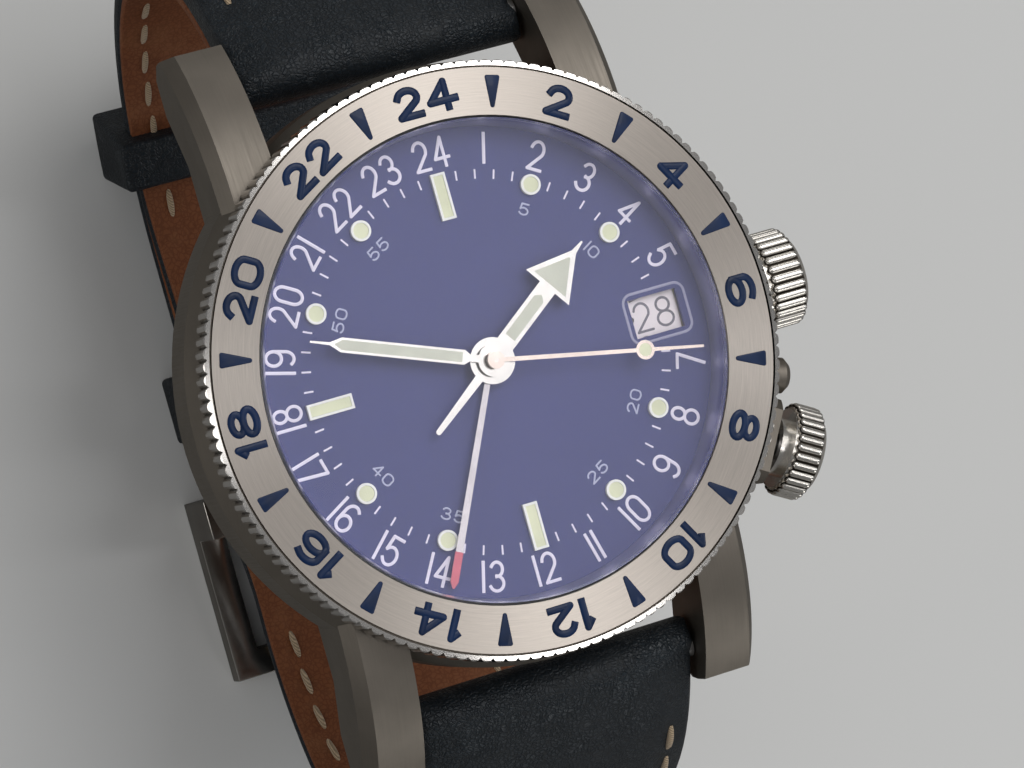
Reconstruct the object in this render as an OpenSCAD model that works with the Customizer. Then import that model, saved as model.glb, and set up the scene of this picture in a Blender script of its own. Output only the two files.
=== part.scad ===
// Wristwatch with a 24-hour dial, a second-zone hand and a 24-hour bezel that a side crown locks.
// It stands on the buckle side of its closed leather strap. +Y is 12 o'clock, +X is 3 o'clock.
// Heights inside the watch head are written from the dial's face; on_dial() lifts them.

/* [Watch head] */
// Outer diameter of the turning bezel
bezel_d = 42; // [41:0.1:44]
// How far the mid-case stands out past the bezel
case_lip = 0.4; // [0.2:0.1:1]
// Clear diameter inside the bezel
opening_d = 34.2; // [33.6:0.1:34.6]
// Height of the bezel's flat top over the dial
bezel_top = 2.77; // [2.6:0.01:3.2]
// Thickness of the bezel's inner lip
bezel_lip_t = 0.37; // [0.25:0.01:0.4]
// Height of the mid-case, deck to back
case_h = 6.55; // [6.5:0.05:7.2]
// Thickness of the case back
case_back_t = 1.7; // [1.5:0.1:2.2]
// Thickness of the crystal
crystal_t = 1.1; // [0.8:0.1:1.6]
// Clear height between dial and crystal
hand_room = 2.0; // [1.95:0.01:2.2]
// Number of scallops round the bezel's edge
scallops = 144; // [96:12:160]
// Depth of a scallop
scallop_depth = 0.28; // [0.1:0.02:0.34]

/* [Lugs] */
// Distance over the lug tips
lug_span = 53; // [51:0.5:56]
// Gap between a pair of lugs
lug_gap = 22; // [20:0.5:22.5]
// Width of one lug
lug_w = 4.3; // [3.5:0.1:4.6]
// Width of the polished strip along a lug's outer edge
lug_bevel = 0.8; // [0.4:0.1:1.2]
// Radius of the lug's downward curve
lug_curve_r = 18; // [16:1:24]

/* [Crowns] */
// Diameter of the setting crown
crown_d = 7.2; // [6:0.1:7.4]
// Length of the setting crown's head
crown_l = 3.3; // [2.6:0.1:4]
// Diameter of the bezel-lock crown
lock_crown_d = 6.9; // [6:0.1:7.2]
// Length of the bezel-lock crown's head
lock_crown_l = 2.7; // [2.4:0.1:3.6]
// Number of round ribs on a crown
flutes = 30; // [24:2:40]
// How far the setting crown pulls out
crown_pull = 1.8; // [1:0.1:2]
// Screw pitch of the bezel lock
lock_pitch = 0.25; // [0.15:0.05:0.3]

/* [Dial and hands] */
// Length of the minute hand from the centre
minute_l = 13.3; // [11:0.1:15]
// Length of the 24-hour hand from the centre
hour_l = 10.8; // [9:0.1:12]
// Length of the second-zone hand from the centre
zone_l = 16.1; // [14:0.1:16.3]
// Length of the seconds hand from the centre
seconds_l = 15.5; // [14:0.1:16.3]
// Thickness of a hand
hand_t = 0.12; // [0.08:0.01:0.15]
// Radius of the ring on which the round hour markers stand
marker_ring_r = 12.9; // [12:0.1:13.2]
// Diameter of a round hour marker
dot_d = 1.46; // [1:0.02:1.8]
// Length of a bar marker
bar_l = 3.34; // [2:0.02:3.6]
// Width of a bar marker
bar_w = 1.07; // [0.6:0.01:1.4]

/* [Strap] */
// Width of the strap where it meets the lugs
strap_w = 21.4; // [19:0.1:21.6]
// How much narrower the strap is at the buckle
strap_taper = 3.4; // [2:0.1:5]
// Thickness of the padded strap beside the lugs
strap_pad_t = 4.3; // [3.6:0.1:4.4]
// Thickness of the strap at the buckle
strap_t = 2.6; // [2.2:0.1:2.8]
// Thickness of the lining
lining_t = 0.8; // [0.5:0.1:1]
// Radius of the strap's bend beside the lugs
side_bend_r = 24.4; // [23:0.1:26]
// Radius of the strap's bend towards the buckle
low_bend_r = 20.6; // [19:0.1:22]
// Thickness of a keeper's leather
keeper_t = 1.2; // [0.8:0.1:1.4]
// Width of a keeper, along the strap
keeper_w = 5.5; // [4:0.1:7]
// Thickness of the buckle's metal
buckle_t = 2; // [1.6:0.1:2.4]

/* [Movement] */
// Diameter of the movement
movement_d = 30.4; // [30.2:0.1:30.6]
// Tooth size of the running train
train_m = 0.12; // [0.11:0.005:0.12]
// Diameter of the balance rim
balance_d = 8.4; // [7:0.1:8.8]

/* [Hidden] */

$fn = 64;
big = 100;
slip = 0.05;

// Head radii
bezel_r = bezel_d / 2;
case_r = bezel_r + case_lip;
open_r = opening_d / 2;
neck_out_r = open_r + 1.1;
neck_in_r = open_r + 0.3;
cavity_r = open_r + 0.8;
dial_r = cavity_r - 0.15;
rehaut_low_r = open_r - 0.5;
crystal_r = open_r - 0.2;

// Head heights, from the dial's face
deck_z = 0.15;
back_z = deck_z - case_h;
dial_t = 0.4;
bezel_gap = 0.2;
bezel_base = deck_z + bezel_gap;
neck_top = bezel_top - bezel_lip_t - 0.1;
crystal_top = hand_room + crystal_t;
case_bevel = 0.7;
case_bevel_h = 1.6;
under_chamfer = 1.2;
spring_wire_r = 0.2;
spring_wire_z = 1.35;
bezel_bore_r = neck_out_r + 0.15;
spring_wire_at = (neck_out_r + bezel_bore_r) / 2;
rim_drop = 0.06;
rim_edge = 0.2;
rim_edge_drop = 0.3;
groove_r = bezel_r - 0.56;
groove_w = 0.13;
groove_depth = 0.18;

// Lugs and spring bars
lug_in_x = lug_gap / 2;
lug_out_x = lug_in_x + lug_w;
bar_inset = 2.7;
bar_y = lug_span / 2 - bar_inset;
bar_z = -6;
bar_hole_r = 0.6;
bar_tip_r = bar_hole_r - slip;
bar_tube_r = 0.9;
bar_tip_l = 1.1;
lug_root_y = 13;
lug_tip_low = -8.6;
lug_tip_r = 1.1;

// Crowns
crown_z = -2.9;
stem_r = 0.45;
tube_r = 1.3;
tube_bore_r = 0.95;
crown_neck_r = tube_bore_r - slip;
crown_at = case_r + 0.55;
lock_angle = 120;
lock_boss_at = case_r + 0.95;
lock_boss_w = 6.2;
lock_crown_at = lock_boss_at + 1.4;
lock_turns = 1.5;
lock_travel = lock_pitch * lock_turns;
guard_angle = 107.5;
guard_r = 1.3;
guard_at = case_r + 1.7;

// Bezel brake
shoe_r = 0.7;
shoe_at = (neck_out_r + case_r) / 2 + 0.1;
shoe_top = bezel_base - lock_travel - 0.08;
spindle_r = 0.5;

// Movement heights and radii
plate_r = movement_d / 2;
plate_top = -2.1;
plate_low = -3.7;
bridge_top = -5.1;
bridge_low = -5.8;
bridge_r = 12.6;
disc_rail_r = 10.7;
disc_top = -0.5;
disc_t = 0.2;
holder_r = cavity_r - 0.1;
arbor_r = 0.25;
fine_pivot_r = 0.15;
barrel_arbor_r = 0.5;
pivot_hole_r = arbor_r + slip;
wheel_t = 0.18;

// Tooth shape, in modules, and the play left between meshed teeth
tooth_out = 0.85;
tooth_in = 1.05;

// Teeth of the wheels and pinions
great_drive_n = 12;
great_n = 80;
third_pinion_n = 10;
third_n = 75;
sweep_pinion_n = 10;
sweep_n = 84;
escape_pinion_n = 7;
escape_n = 20;
barrel_n = 84;
great_pinion_n = 14;
cannon_n = 12;
minute_n = 36;
minute_pinion_n = 8;
hour_n = 64;
date_n = 64;

// Modules that follow the running train's
barrel_m = train_m * 0.92;
escape_m = train_m * 5 / 6;
cannon_m = 0.16;
motion_m = cannon_m * (cannon_n + minute_n) / (minute_pinion_n + hour_n);

// Distances between meshed centres
great_far = train_m * 50;
great_third = train_m * (great_n + third_pinion_n) / 2;
third_far = train_m * (third_n + sweep_pinion_n) / 2;
barrel_great = barrel_m * (barrel_n + great_pinion_n) / 2;
escape_far = escape_m * (sweep_n + escape_pinion_n) / 2;
minute_far = cannon_m * (cannon_n + minute_n) / 2;
date_far = motion_m * (hour_n + date_n) / 2;
barrel_far = barrel_great + great_far * 0.71;
balance_far = 10;

// Directions of the centres from the middle, counter-clockwise from 3 o'clock
great_a = 150;
third_a = great_a - corner(great_far, third_far, great_third);
barrel_a = great_a + corner(great_far, barrel_far, barrel_great);
escape_a = third_a - 100;
balance_a = 300;
minute_a = great_a + acos(great_far / 2 / minute_far);
date_a = 40;

great_at = polar(great_far, great_a);
third_at = polar(third_far, third_a);
barrel_at = polar(barrel_far, barrel_a);
escape_at = polar(escape_far, escape_a);
balance_at = polar(balance_far, balance_a);
minute_at = polar(minute_far, minute_a);
date_at = polar(date_far, date_a);
fork_a = bearing(escape_at, balance_at);
fork_at = escape_at + polar(3.1, fork_a);

// Heights of the wheels
cannon_z = -1.75;
cannon_l = 0.25;
minute_t = 0.22;
hour_z = -1.38;
zone_z = -1.1;
great_z = -4.2;
sweep_z = -4.5;
barrel_z = -4.5;
third_z = -4.9;
escape_z = -4.9;
barrel_low = -5.0;

// Nested pipes under the hands
sweep_arbor_r = 0.2;
cannon_in = sweep_arbor_r + slip;
cannon_out = 0.52;
hour_in = cannon_out + slip;
hour_out = 0.82;
zone_in = hour_out + slip;
zone_out = 1.12;
dial_hole_r = zone_out + slip;

// Heights of the hands, and where they point at rest, clockwise from 12
zone_hand_z = 0.5;
hour_hand_z = 0.85;
minute_hand_z = 1.2;
seconds_hand_z = 1.55;
hour_points = 54;
minute_points = 290.8;
seconds_points = 101.5;
zone_points = 206.2;
hub_r = 1.65;

// Date window
window_at = 13.0;
window_x = 3.76;
window_y = 2.8;
disc_in = disc_rail_r + 0.2;
disc_out = plate_r - 0.35;

// Rotor
rotor_r = 14.7;
rotor_web_z = -6.0;
rotor_web_t = 0.3;
rotor_rim_top = -5.25;
rotor_rim_low = -6.45;
rotor_post_r = 0.6;

// Strap route, in the plane across the watch: [y, z] from the dial's face, on the strap's middle
strap_start = [bar_y, bar_z];
start_heading = -30;
side_turn = 60;
low_turn = 90;
bend_steps = 10;
side_end = arc_end(strap_start, start_heading, side_bend_r, side_turn);
low_end = arc_end(side_end, -90, low_bend_r, low_turn);
low_y = low_end[0];
low_mid = low_end[1];
strap_end_w = strap_w - strap_taper;
pad_run = 22;
taper_run = 70;
strap_gap = 0.22;
tail_t = 2.4;
tail_mid = low_mid - strap_t / 2 - strap_gap - tail_t / 2;
tail_drop = low_mid - tail_mid;
cross_y = -6;
ramp_l = low_y + cross_y;
ramp_turn = 2 * atan(tail_drop / ramp_l);
ramp_r = ramp_l / (2 * sin(ramp_turn));
wrap_r = low_bend_r + tail_drop;
wrap_turn = 33;
bar_end_y = -7;
fold_r = strap_t / 2 + 0.1;
buckle_bar_r = 0.7;
buckle_bar_z = low_mid;
holes = 5;
hole_pitch = 6.5;
hole_r = 1;
stitch_l = 2.3;
stitch_pitch = 3.4;
stitch_r = 0.28;
stitch_inset = 1.9;

// Everything stands on the fixed keeper and the buckle
floor_z = tail_mid - tail_t / 2 - strap_gap - keeper_t;
dial_height = -floor_z;

// Keepers and buckle
keeper_in_w = strap_end_w + 1.1;
fixed_keeper_y = 2.2;
free_keeper_turn = 21;
frame_in_w = strap_end_w + 0.9;
frame_side = 2.2;
frame_far_y = -20.5;
frame_bar = 2.2;
tongue_w = 2.2;
tongue_t = 1.1;
tongue_r = buckle_bar_r + 0.06;
slot_w = tongue_w + 0.8;
slot_l = 7;
slot_back = 5;
tail_slot_l = 4.6;
tail_hole_h = 4.6;
tail_slot_back = 1.8;
cut_h = 8;

// A point at distance d in direction a
function polar(d, a) = [d * cos(a), d * sin(a)];
// The angle at the corner between sides p and q, opposite the side s
function corner(p, q, s) = acos((p * p + q * q - s * s) / (2 * p * q));
// The direction from one point to another
function bearing(a, b) = atan2(b[1] - a[1], b[0] - a[0]);
// Where an arc ends that starts at p with heading h and turns down by turn degrees
function arc_end(p, h, r, turn) = [p[0] + r * (sin(h) - sin(h - turn)), p[1] + r * (cos(h - turn) - cos(h))];
// The same for an arc that turns the other way
function arc_back(p, h, r, turn) = [p[0] + r * (sin(h + turn) - sin(h)), p[1] + r * (cos(h) - cos(h + turn))];
// The turn that puts a gap of a wheel of n teeth against a tooth of the wheel that it meshes with
function mesh(dir, n_from, turn_from, n) = dir + 180 + 180 / n - (turn_from - dir) * n_from / n;

// Stations of a strap half: [y, z, heading, run so far]
function bend(p, h, r, turn, run) = [for (i = [0:bend_steps]) let (t = turn * i / bend_steps)
    [arc_end(p, h, r, t)[0], arc_end(p, h, r, t)[1], h - t, run + r * t * PI / 180]];
function side_run() = side_bend_r * side_turn * PI / 180;
function low_run() = side_run() + low_bend_r * low_turn * PI / 180;
function common_route() = concat(
    bend(strap_start, start_heading, side_bend_r, side_turn, 0),
    [for (s = bend(side_end, -90, low_bend_r, low_turn, side_run())) if (s[2] < -90.01) s]);
function upper_route() = concat(common_route(),
    [[bar_end_y, low_mid, -180, low_run() + low_y - bar_end_y]]);
// The lower half is written as if it started at 12 o'clock too; it is mirrored when it is built
ramp_mid = arc_back([low_y, low_mid], -180, ramp_r, ramp_turn);
function ramp() = [for (i = [1:4]) let (t = ramp_turn * i / 4,
    p = arc_back([low_y, low_mid], -180, ramp_r, t))
    [p[0], p[1], -180 + t, low_run() + ramp_r * t * PI / 180]];
function ramp_out() = [for (i = [1:4]) let (t = ramp_turn * i / 4,
    p = arc_end(ramp_mid, -180 + ramp_turn, ramp_r, t))
    [p[0], p[1], -180 + ramp_turn - t, low_run() + ramp_r * (ramp_turn + t) * PI / 180]];
function tail_run() = low_run() + 2 * ramp_r * ramp_turn * PI / 180;
function wrap() = [for (i = [0:8]) let (t = wrap_turn * i / 8,
    p = arc_end([-low_y, tail_mid], -180, wrap_r, t))
    [p[0], p[1], -180 - t, tail_run() + low_y - cross_y + wrap_r * t * PI / 180]];
function lower_route() = concat(common_route(), ramp(), ramp_out(), wrap());

// Width and thickness of the strap along its run
function width_at(run, run_end, tip) =
    (strap_w + (strap_end_w - strap_w) * min(1, run / taper_run))
    * (tip && run > run_end - tip_l ? sqrt(1 - 0.84 * pow((run - run_end + tip_l) / tip_l, 2)) : 1);
function thick_at(run, end_t) =
    end_t + (strap_pad_t - end_t) * pow(max(0, 1 - run / (pad_run * 2)), 1.3);
tip_l = 8.5;

// One ring of a strap's section: crowned on its outer side, level from low to high on its inner side
function section(s, w, t, low, high, crowned) = let (
    n = [-sin(s[2]), cos(s[2])],
    e = crowned ? high - min(0.9, (high - low) * 0.4) : high,
    across = [[-w / 2, low], [w / 2, low], [w / 2, e], [w / 2 - 1.3, high - (high - e) * 0.25],
        [w / 4, high], [-w / 4, high], [-w / 2 + 1.3, high - (high - e) * 0.25], [-w / 2, e]])
    [for (a = across) [a[0], s[0] + n[0] * (a[1] - t / 2), s[1] + n[1] * (a[1] - t / 2)]];
sides = 8;

// A closed skin over rings of points
module skin(rings) {
    last = len(rings) - 1;
    polyhedron(
        points = [for (r = rings) for (p = r) p],
        faces = concat(
            [for (i = [0:last - 1]) for (j = [0:sides - 1])
                let (k = (j + 1) % sides, a = i * sides, b = a + sides) [a + j, b + k, b + j]],
            [for (i = [0:last - 1]) for (j = [0:sides - 1])
                let (k = (j + 1) % sides, a = i * sides, b = a + sides) [a + j, a + k, b + k]],
            [for (j = [1:sides - 2]) [0, j + 1, j]],
            [for (j = [1:sides - 2]) let (a = last * sides) [a, a + j, a + j + 1]]),
        convexity = 10);
}

module on_dial() translate([0, 0, dial_height]) children();

// Lays a piece drawn along +X out from the middle, at a clock angle and the crowns' height
module at_clock(a, z = crown_z) translate([0, 0, z]) rotate([0, 0, 90 - a]) children();

// A rod along +X
module rod(r, x0, x1) translate([x0, 0, 0]) rotate([0, 90, 0]) cylinder(r = r, h = x1 - x0);

module ring(r_out, r_in, z_low, z_high) translate([0, 0, z_low]) difference() {
    cylinder(r = r_out, h = z_high - z_low);
    translate([0, 0, -1]) cylinder(r = r_in, h = z_high - z_low + 2);
}

// A pointed-tooth wheel blank, its first tooth at the given turn
module teeth(n, m, t, turn) linear_extrude(height = t) polygon([for (i = [0:2 * n - 1])
    let (r = n * m / 2 + (i % 2 == 0 ? tooth_out : -tooth_in) * m, a = turn + i * 180 / n) polar(r, a)]);

// A spoked wheel of n teeth with a hub
module spoked(n, m, t, turn, hub, spokes = 4) {
    rim = n * m / 2 - tooth_in * m - 0.35;
    difference() {
        teeth(n, m, t, turn);
        translate([0, 0, -1]) cylinder(r = rim, h = t + 2);
    }
    cylinder(r = hub, h = t);
    for (i = [0:spokes - 1]) rotate([0, 0, turn + i * 360 / spokes])
        translate([0, -0.2, 0]) cube([rim + 0.1, 0.4, t]);
}

// Case

module lug_side() {
    intersection() {
        translate([lug_root_y + 1, deck_z - lug_curve_r]) circle(r = lug_curve_r, $fn = 180);
        polygon([[lug_root_y, deck_z + 1], [lug_root_y, back_z], [bar_y - 5, back_z],
            [bar_y - 1, lug_tip_low], [lug_span / 2 - lug_tip_r, lug_tip_low],
            [lug_span / 2 - 0.15, lug_tip_low + lug_tip_r],
            [lug_span / 2, lug_tip_low + 2.2], [lug_span / 2, deck_z + 1]]);
    }
}

// One lug at the upper right; its outer top edge carries the polished strip
module lug() {
    difference() {
        translate([lug_in_x, 0, 0]) rotate([90, 0, 90]) linear_extrude(height = lug_w) lug_side();
        translate([lug_out_x, lug_root_y + 1, deck_z - lug_curve_r]) rotate([0, 90, 0])
            lug_strip_cut();
        translate([0, bar_y, bar_z]) rod(bar_hole_r, lug_in_x - 1, lug_in_x + bar_tip_l + 0.3);
    }
}

// Takes the slanted strip off a lug's outer top edge, as a cone round the lug's curve
module lug_strip_cut() difference() {
    translate([0, 0, -lug_bevel]) cylinder(r = lug_curve_r + 3, h = lug_bevel + 1, $fn = 180);
    translate([0, 0, -lug_bevel]) cylinder(r1 = lug_curve_r, r2 = lug_curve_r - lug_bevel * 1.6 - 0.6,
        h = lug_bevel + 0.4, $fn = 180);
    translate([0, 0, -lug_bevel - 1]) cylinder(r = lug_curve_r - 3, h = lug_bevel + 3);
}

module case_body() rotate_extrude($fn = 128) polygon([[cavity_r, back_z], [case_r - under_chamfer, back_z],
    [case_r, back_z + under_chamfer], [case_r, deck_z - case_bevel_h], [case_r - case_bevel, deck_z],
    [neck_out_r, deck_z], [neck_out_r, neck_top], [neck_in_r, neck_top], [neck_in_r, 0], [cavity_r, 0]]);

module mid_case() color([0.62, 0.61, 0.58]) on_dial() difference() {
    union() {
        case_body();
        for (x = [0, 1]) for (y = [0, 1]) mirror([x, 0, 0]) mirror([0, y, 0]) difference() {
            lug();
            translate([0, 0, back_z - 1]) cylinder(r = neck_out_r + 1, h = case_h + 3);
        }
        at_clock(lock_angle) difference() {
            translate([case_r - 2, -lock_boss_w / 2, -lock_boss_w / 2])
                cube([lock_boss_at - case_r + 2, lock_boss_w, lock_boss_w - 0.2]);
            translate([lock_boss_at, 0, 0]) rotate([0, -90, 0])
                ring(lock_boss_w, lock_boss_w / 2 + 0.6, -0.1, 3);
        }
        at_clock(guard_angle, -1.6) {
            rod(guard_r, case_r - 1.5, guard_at - 0.4);
            translate([guard_at - 0.4, 0, 0]) rotate([0, 90, 0])
                cylinder(r1 = guard_r, r2 = guard_r - 0.4, h = 0.4);
        }
    }
    translate([0, 0, spring_wire_z]) torus(spring_wire_at, spring_wire_r + slip);
    at_clock(90) rod(tube_r, cavity_r - 1, case_r + 1);
    at_clock(lock_angle) rod(tube_r, shoe_at - shoe_r - 0.9, lock_boss_at + 1);
    at_clock(lock_angle) translate([shoe_at, 0, 0]) cylinder(r = shoe_r + slip, h = big);
    translate([0, 0, back_z - 1])
        ring(gasket_at + gasket_r + slip, gasket_at - gasket_r - slip, 0, 1 + gasket_r * 2 + slip);
}

module torus(at, r) rotate_extrude($fn = 96) translate([at, 0]) circle(r = r, $fn = 24);

gasket_r = 0.3;
gasket_at = cavity_r + 0.75;
back_out_r = case_r - 2;
back_notches = 6;

module case_back() color([0.66, 0.65, 0.62]) on_dial() difference() {
    union() {
        rotate_extrude($fn = 128) polygon([[0, back_z - case_back_t],
            [back_out_r - 1.6, back_z - case_back_t],
            [back_out_r, back_z - 0.6], [back_out_r, back_z], [0, back_z]]);
        ring(cavity_r - slip, cavity_r - 0.9, back_z - 0.1, back_z + 0.8);
    }
    translate([0, 0, back_z - case_back_t + 1.2]) cylinder(r = cavity_r - 1.5, h = 2);
    for (i = [0:back_notches - 1]) rotate([0, 0, i * 360 / back_notches])
        translate([back_out_r - 1.1, -1.5, back_z - case_back_t - 1]) cube([4, 3, 1.7]);
}

module case_back_gasket() color([0.08, 0.08, 0.08]) on_dial()
    translate([0, 0, back_z + gasket_r]) torus(gasket_at, gasket_r);

module rehaut_ring() color([0.55, 0.54, 0.55]) on_dial() rotate_extrude($fn = 128)
    polygon([[rehaut_low_r, 0.02], [neck_in_r - slip, 0.02], [neck_in_r - slip, hand_room - slip],
        [rehaut_low_r + 0.35, hand_room - slip]]);

module crystal() color([0.9, 0.93, 0.96, 0.3]) on_dial() rotate_extrude($fn = 128)
    polygon([[0, hand_room], [crystal_r, hand_room], [crystal_r, crystal_top - 0.1],
        [crystal_r - 0.1, crystal_top], [0, crystal_top]]);

module crystal_gasket() color([0.12, 0.12, 0.13]) on_dial()
    ring(neck_in_r - 0.01, crystal_r + 0.01, hand_room, neck_top);

module dial() color([0.35, 0.35, 0.54]) on_dial() difference() {
    translate([0, 0, -dial_t]) cylinder(r = dial_r, h = dial_t, $fn = 128);
    translate([0, 0, -1]) cylinder(r = dial_hole_r, h = 2);
    translate([window_at - window_x / 2, -window_y / 2, -1]) cube([window_x, window_y, 2]);
}

// Hour markers: a rim and the lume that fills it
marker_h = 0.3;
rim_w = 0.17;
bar_at = marker_ring_r - 0.93;
bar_hours = [0, 180, 270];
dot_hours = [30, 60, 120, 150, 210, 240, 300, 330];

module at_markers(hours, at) for (a = hours) rotate([0, 0, 90 - a]) translate([at, 0, 0]) children();

module marker_frames() color([0.9, 0.9, 0.88]) on_dial() {
    at_markers(bar_hours, bar_at) difference() {
        translate([-bar_l / 2, -bar_w / 2, 0]) cube([bar_l, bar_w, marker_h]);
        translate([-bar_l / 2 + rim_w, -bar_w / 2 + rim_w, -1])
            cube([bar_l - 2 * rim_w, bar_w - 2 * rim_w, 2]);
    }
    at_markers(dot_hours, marker_ring_r) ring(dot_d / 2, dot_d / 2 - rim_w, 0, marker_h);
}

module marker_lume() color([0.86, 0.9, 0.74]) on_dial() {
    at_markers(bar_hours, bar_at)
        translate([-bar_l / 2 + rim_w + 0.01, -bar_w / 2 + rim_w + 0.01, 0])
            cube([bar_l - 2 * rim_w - 0.02, bar_w - 2 * rim_w - 0.02, marker_h - 0.05]);
    at_markers(dot_hours, marker_ring_r) cylinder(r = dot_d / 2 - rim_w - 0.01, h = marker_h - 0.05);
}

// Bezel

// Round lobes with a narrow notch between each two
lobe = [1, 0.26, 0.02, 0.02, 0.26];
module scallop_outline() polygon([for (i = [0:scallops * 5 - 1])
    polar(bezel_r - lobe[i % 5] * scallop_depth, i * 72 / scallops)]);

module bezel() color([0.78, 0.77, 0.74]) on_dial() difference() {
    intersection() {
        rotate_extrude($fn = 128) polygon([[open_r, neck_top + 0.1], [open_r, bezel_top],
            [groove_r, bezel_top],
            [groove_r, bezel_top - groove_depth], [groove_r + groove_w, bezel_top - groove_depth],
            [groove_r + groove_w, bezel_top - 0.02], [bezel_r - rim_edge / 2, bezel_top - rim_drop],
            [bezel_r + rim_edge / 2, bezel_top - rim_edge_drop], [bezel_r + rim_edge / 2, bezel_base],
            [bezel_bore_r, bezel_base], [bezel_bore_r, neck_top + 0.1]]);
        linear_extrude(height = bezel_top + 1) scallop_outline();
    }
    translate([0, 0, spring_wire_z]) torus(spring_wire_at, spring_wire_r + slip);
}

// The wire ring that snaps the bezel to the neck, split so that it can spring
module bezel_spring() color([0.7, 0.7, 0.7]) on_dial() difference() {
    translate([0, 0, spring_wire_z]) torus(spring_wire_at, spring_wire_r);
    translate([0, -0.5, 0]) cube([big, 1, 4]);
}

// Crowns

// Depth of the hollow in a crown's back, at whose bottom the stem holds the crown
crown_recess = 0.8;

// A round rib of a crown, its ends domed, along +X
module rib(r, l) rotate([0, 90, 0]) rotate_extrude($fn = 24)
    polygon(concat([for (a = [0:22.5:90]) [r * sin(a), r * (1 - cos(a))]],
        [for (a = [90:-22.5:0]) [r * sin(a), l - r * (1 - cos(a))]]));

module crown_head(at, d, l) {
    rib_r = PI * d / flutes * 0.4;
    core_r = d / 2 - rib_r;
    difference() {
        union() {
            rod(d / 2 - 0.5, at, at + 0.3);
            rod(core_r, at + 0.3, at + l - 0.6);
            translate([at + l - 0.6, 0, 0]) rotate([0, 90, 0])
                cylinder(r1 = core_r, r2 = d / 2 - 0.8, h = 0.4);
            translate([at + l - 0.2, 0, 0]) rotate([0, 90, 0])
                cylinder(r1 = d / 2 - 0.8, r2 = d / 2 - 1.6, h = 0.2);
            for (i = [0:flutes - 1]) rotate([i * 360 / flutes, 0, 0])
                translate([at + 0.12, 0, d / 2 - rib_r]) rib(rib_r, l - 0.67);
        }
        rod(tube_r + 0.15, at - 1, at + crown_recess);
    }
}

module crown() color([0.7, 0.69, 0.66]) on_dial() at_clock(90)
    crown_head(crown_at, crown_d, crown_l);

stem_end = plate_r - 6.5;
pinion_x = plate_r - 5;
pinion_l = 1.7;

module winding_stem() color([0.72, 0.72, 0.74]) on_dial() at_clock(90) {
    rod(stem_r, cavity_r + 0.4, case_r - 0.5);
    rod(crown_neck_r, case_r - 0.6, crown_at + crown_recess);
    difference() {
        rod(stem_r, stem_end, cavity_r + 0.4);
        translate([stem_end - 1, -1, -1.32]) cube([pinion_l + 5, 2, 1]);
        translate([stem_end - 1, -1, 0.32]) cube([pinion_l + 5, 2, 1]);
    }
}

module crown_gasket() color([0.07, 0.07, 0.07]) on_dial() at_clock(90)
    translate([case_r - 1.6, 0, 0]) rotate([0, 90, 0]) ring(crown_neck_r, stem_r + 0.01, 0, 0.8);

module crown_tube() color([0.6, 0.6, 0.6]) on_dial() at_clock(90) difference() {
    rod(tube_r - 0.01, cavity_r + 0.1, crown_at + 0.3);
    rod(tube_bore_r, cavity_r - 1, crown_at + 1);
}

// The toothed sleeve that the stem turns and slides through
module sliding_pinion() color([0.75, 0.75, 0.78]) on_dial() at_clock(90) difference() {
    translate([pinion_x, 0, 0]) rotate([0, 90, 0]) teeth(12, 0.12, pinion_l, 0);
    intersection() {
        rod(stem_r + slip, 0, big);
        translate([0, -1, -0.32 - slip]) cube([big, 2, 2 * (0.32 + slip)]);
    }
}

module lock_crown() color([0.7, 0.69, 0.66]) on_dial() at_clock(lock_angle) {
    crown_head(lock_crown_at, lock_crown_d, lock_crown_l);
    difference() {
        rod(2.1, lock_boss_at + 0.75, lock_crown_at + 0.1);
        rod(tube_r + 0.15, lock_boss_at - 1, lock_crown_at + 0.2);
    }
}

module lock_crown_tube() color([0.6, 0.6, 0.6]) on_dial() at_clock(lock_angle) difference() {
    rod(tube_r - 0.01, shoe_at + shoe_r + 0.35, lock_boss_at + 0.3);
    rod(tube_bore_r, cavity_r - 1, lock_crown_at);
}

// The spindle screws in with the lock crown; its cone lifts the shoe
cone_l = crown_neck_r - 0.1;
spindle_back = lock_boss_at - 0.95;
gasket_l = 0.4;

module lock_spindle() color([0.72, 0.72, 0.74]) on_dial() at_clock(lock_angle) {
    translate([shoe_at, 0, 0]) rotate([0, 90, 0]) cylinder(r1 = 0.1, r2 = crown_neck_r, h = cone_l);
    rod(crown_neck_r, shoe_at + cone_l, spindle_back);
    rod(spindle_r, spindle_back - 0.1, spindle_back + gasket_l + 0.2);
    rod(crown_neck_r, spindle_back + gasket_l + 0.1, lock_crown_at + crown_recess);
}

// The spindle turns in its gasket, and the two slide in the tube together
module lock_gasket() color([0.07, 0.07, 0.07]) on_dial() at_clock(lock_angle)
    translate([spindle_back + 0.05, 0, 0]) rotate([0, 90, 0])
        ring(tube_bore_r - 0.01, spindle_r + 0.04, 0, gasket_l);

// The shoe's foot is slanted to match the cone
module brake_shoe() color([0.5, 0.35, 0.15]) on_dial() at_clock(lock_angle) difference() {
    translate([shoe_at, 0, -shoe_r]) cylinder(r = shoe_r, h = shoe_top - crown_z + shoe_r);
    translate([shoe_at, 0, 0.1 + slip * 1.4]) rotate([0, -45, 0]) translate([-5, -5, -10]) cube([10, 10, 10]);
}

// Hands, drawn along +X and turned to where they point

module pointing(a, z) on_dial() translate([0, 0, z]) rotate([0, 0, 90 - a]) children();

module bored(r) difference() {
    children();
    translate([0, 0, -1]) cylinder(r = r, h = 5);
}

arrow_at = hour_l - 4.2;
arrow_tip = hour_l - 1;
arrow_half = 2.0;
stem_half = 0.7;
slot_half = 0.41;
hour_slot_end = arrow_at - 1.05;
hour_tail = 6.6;

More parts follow.
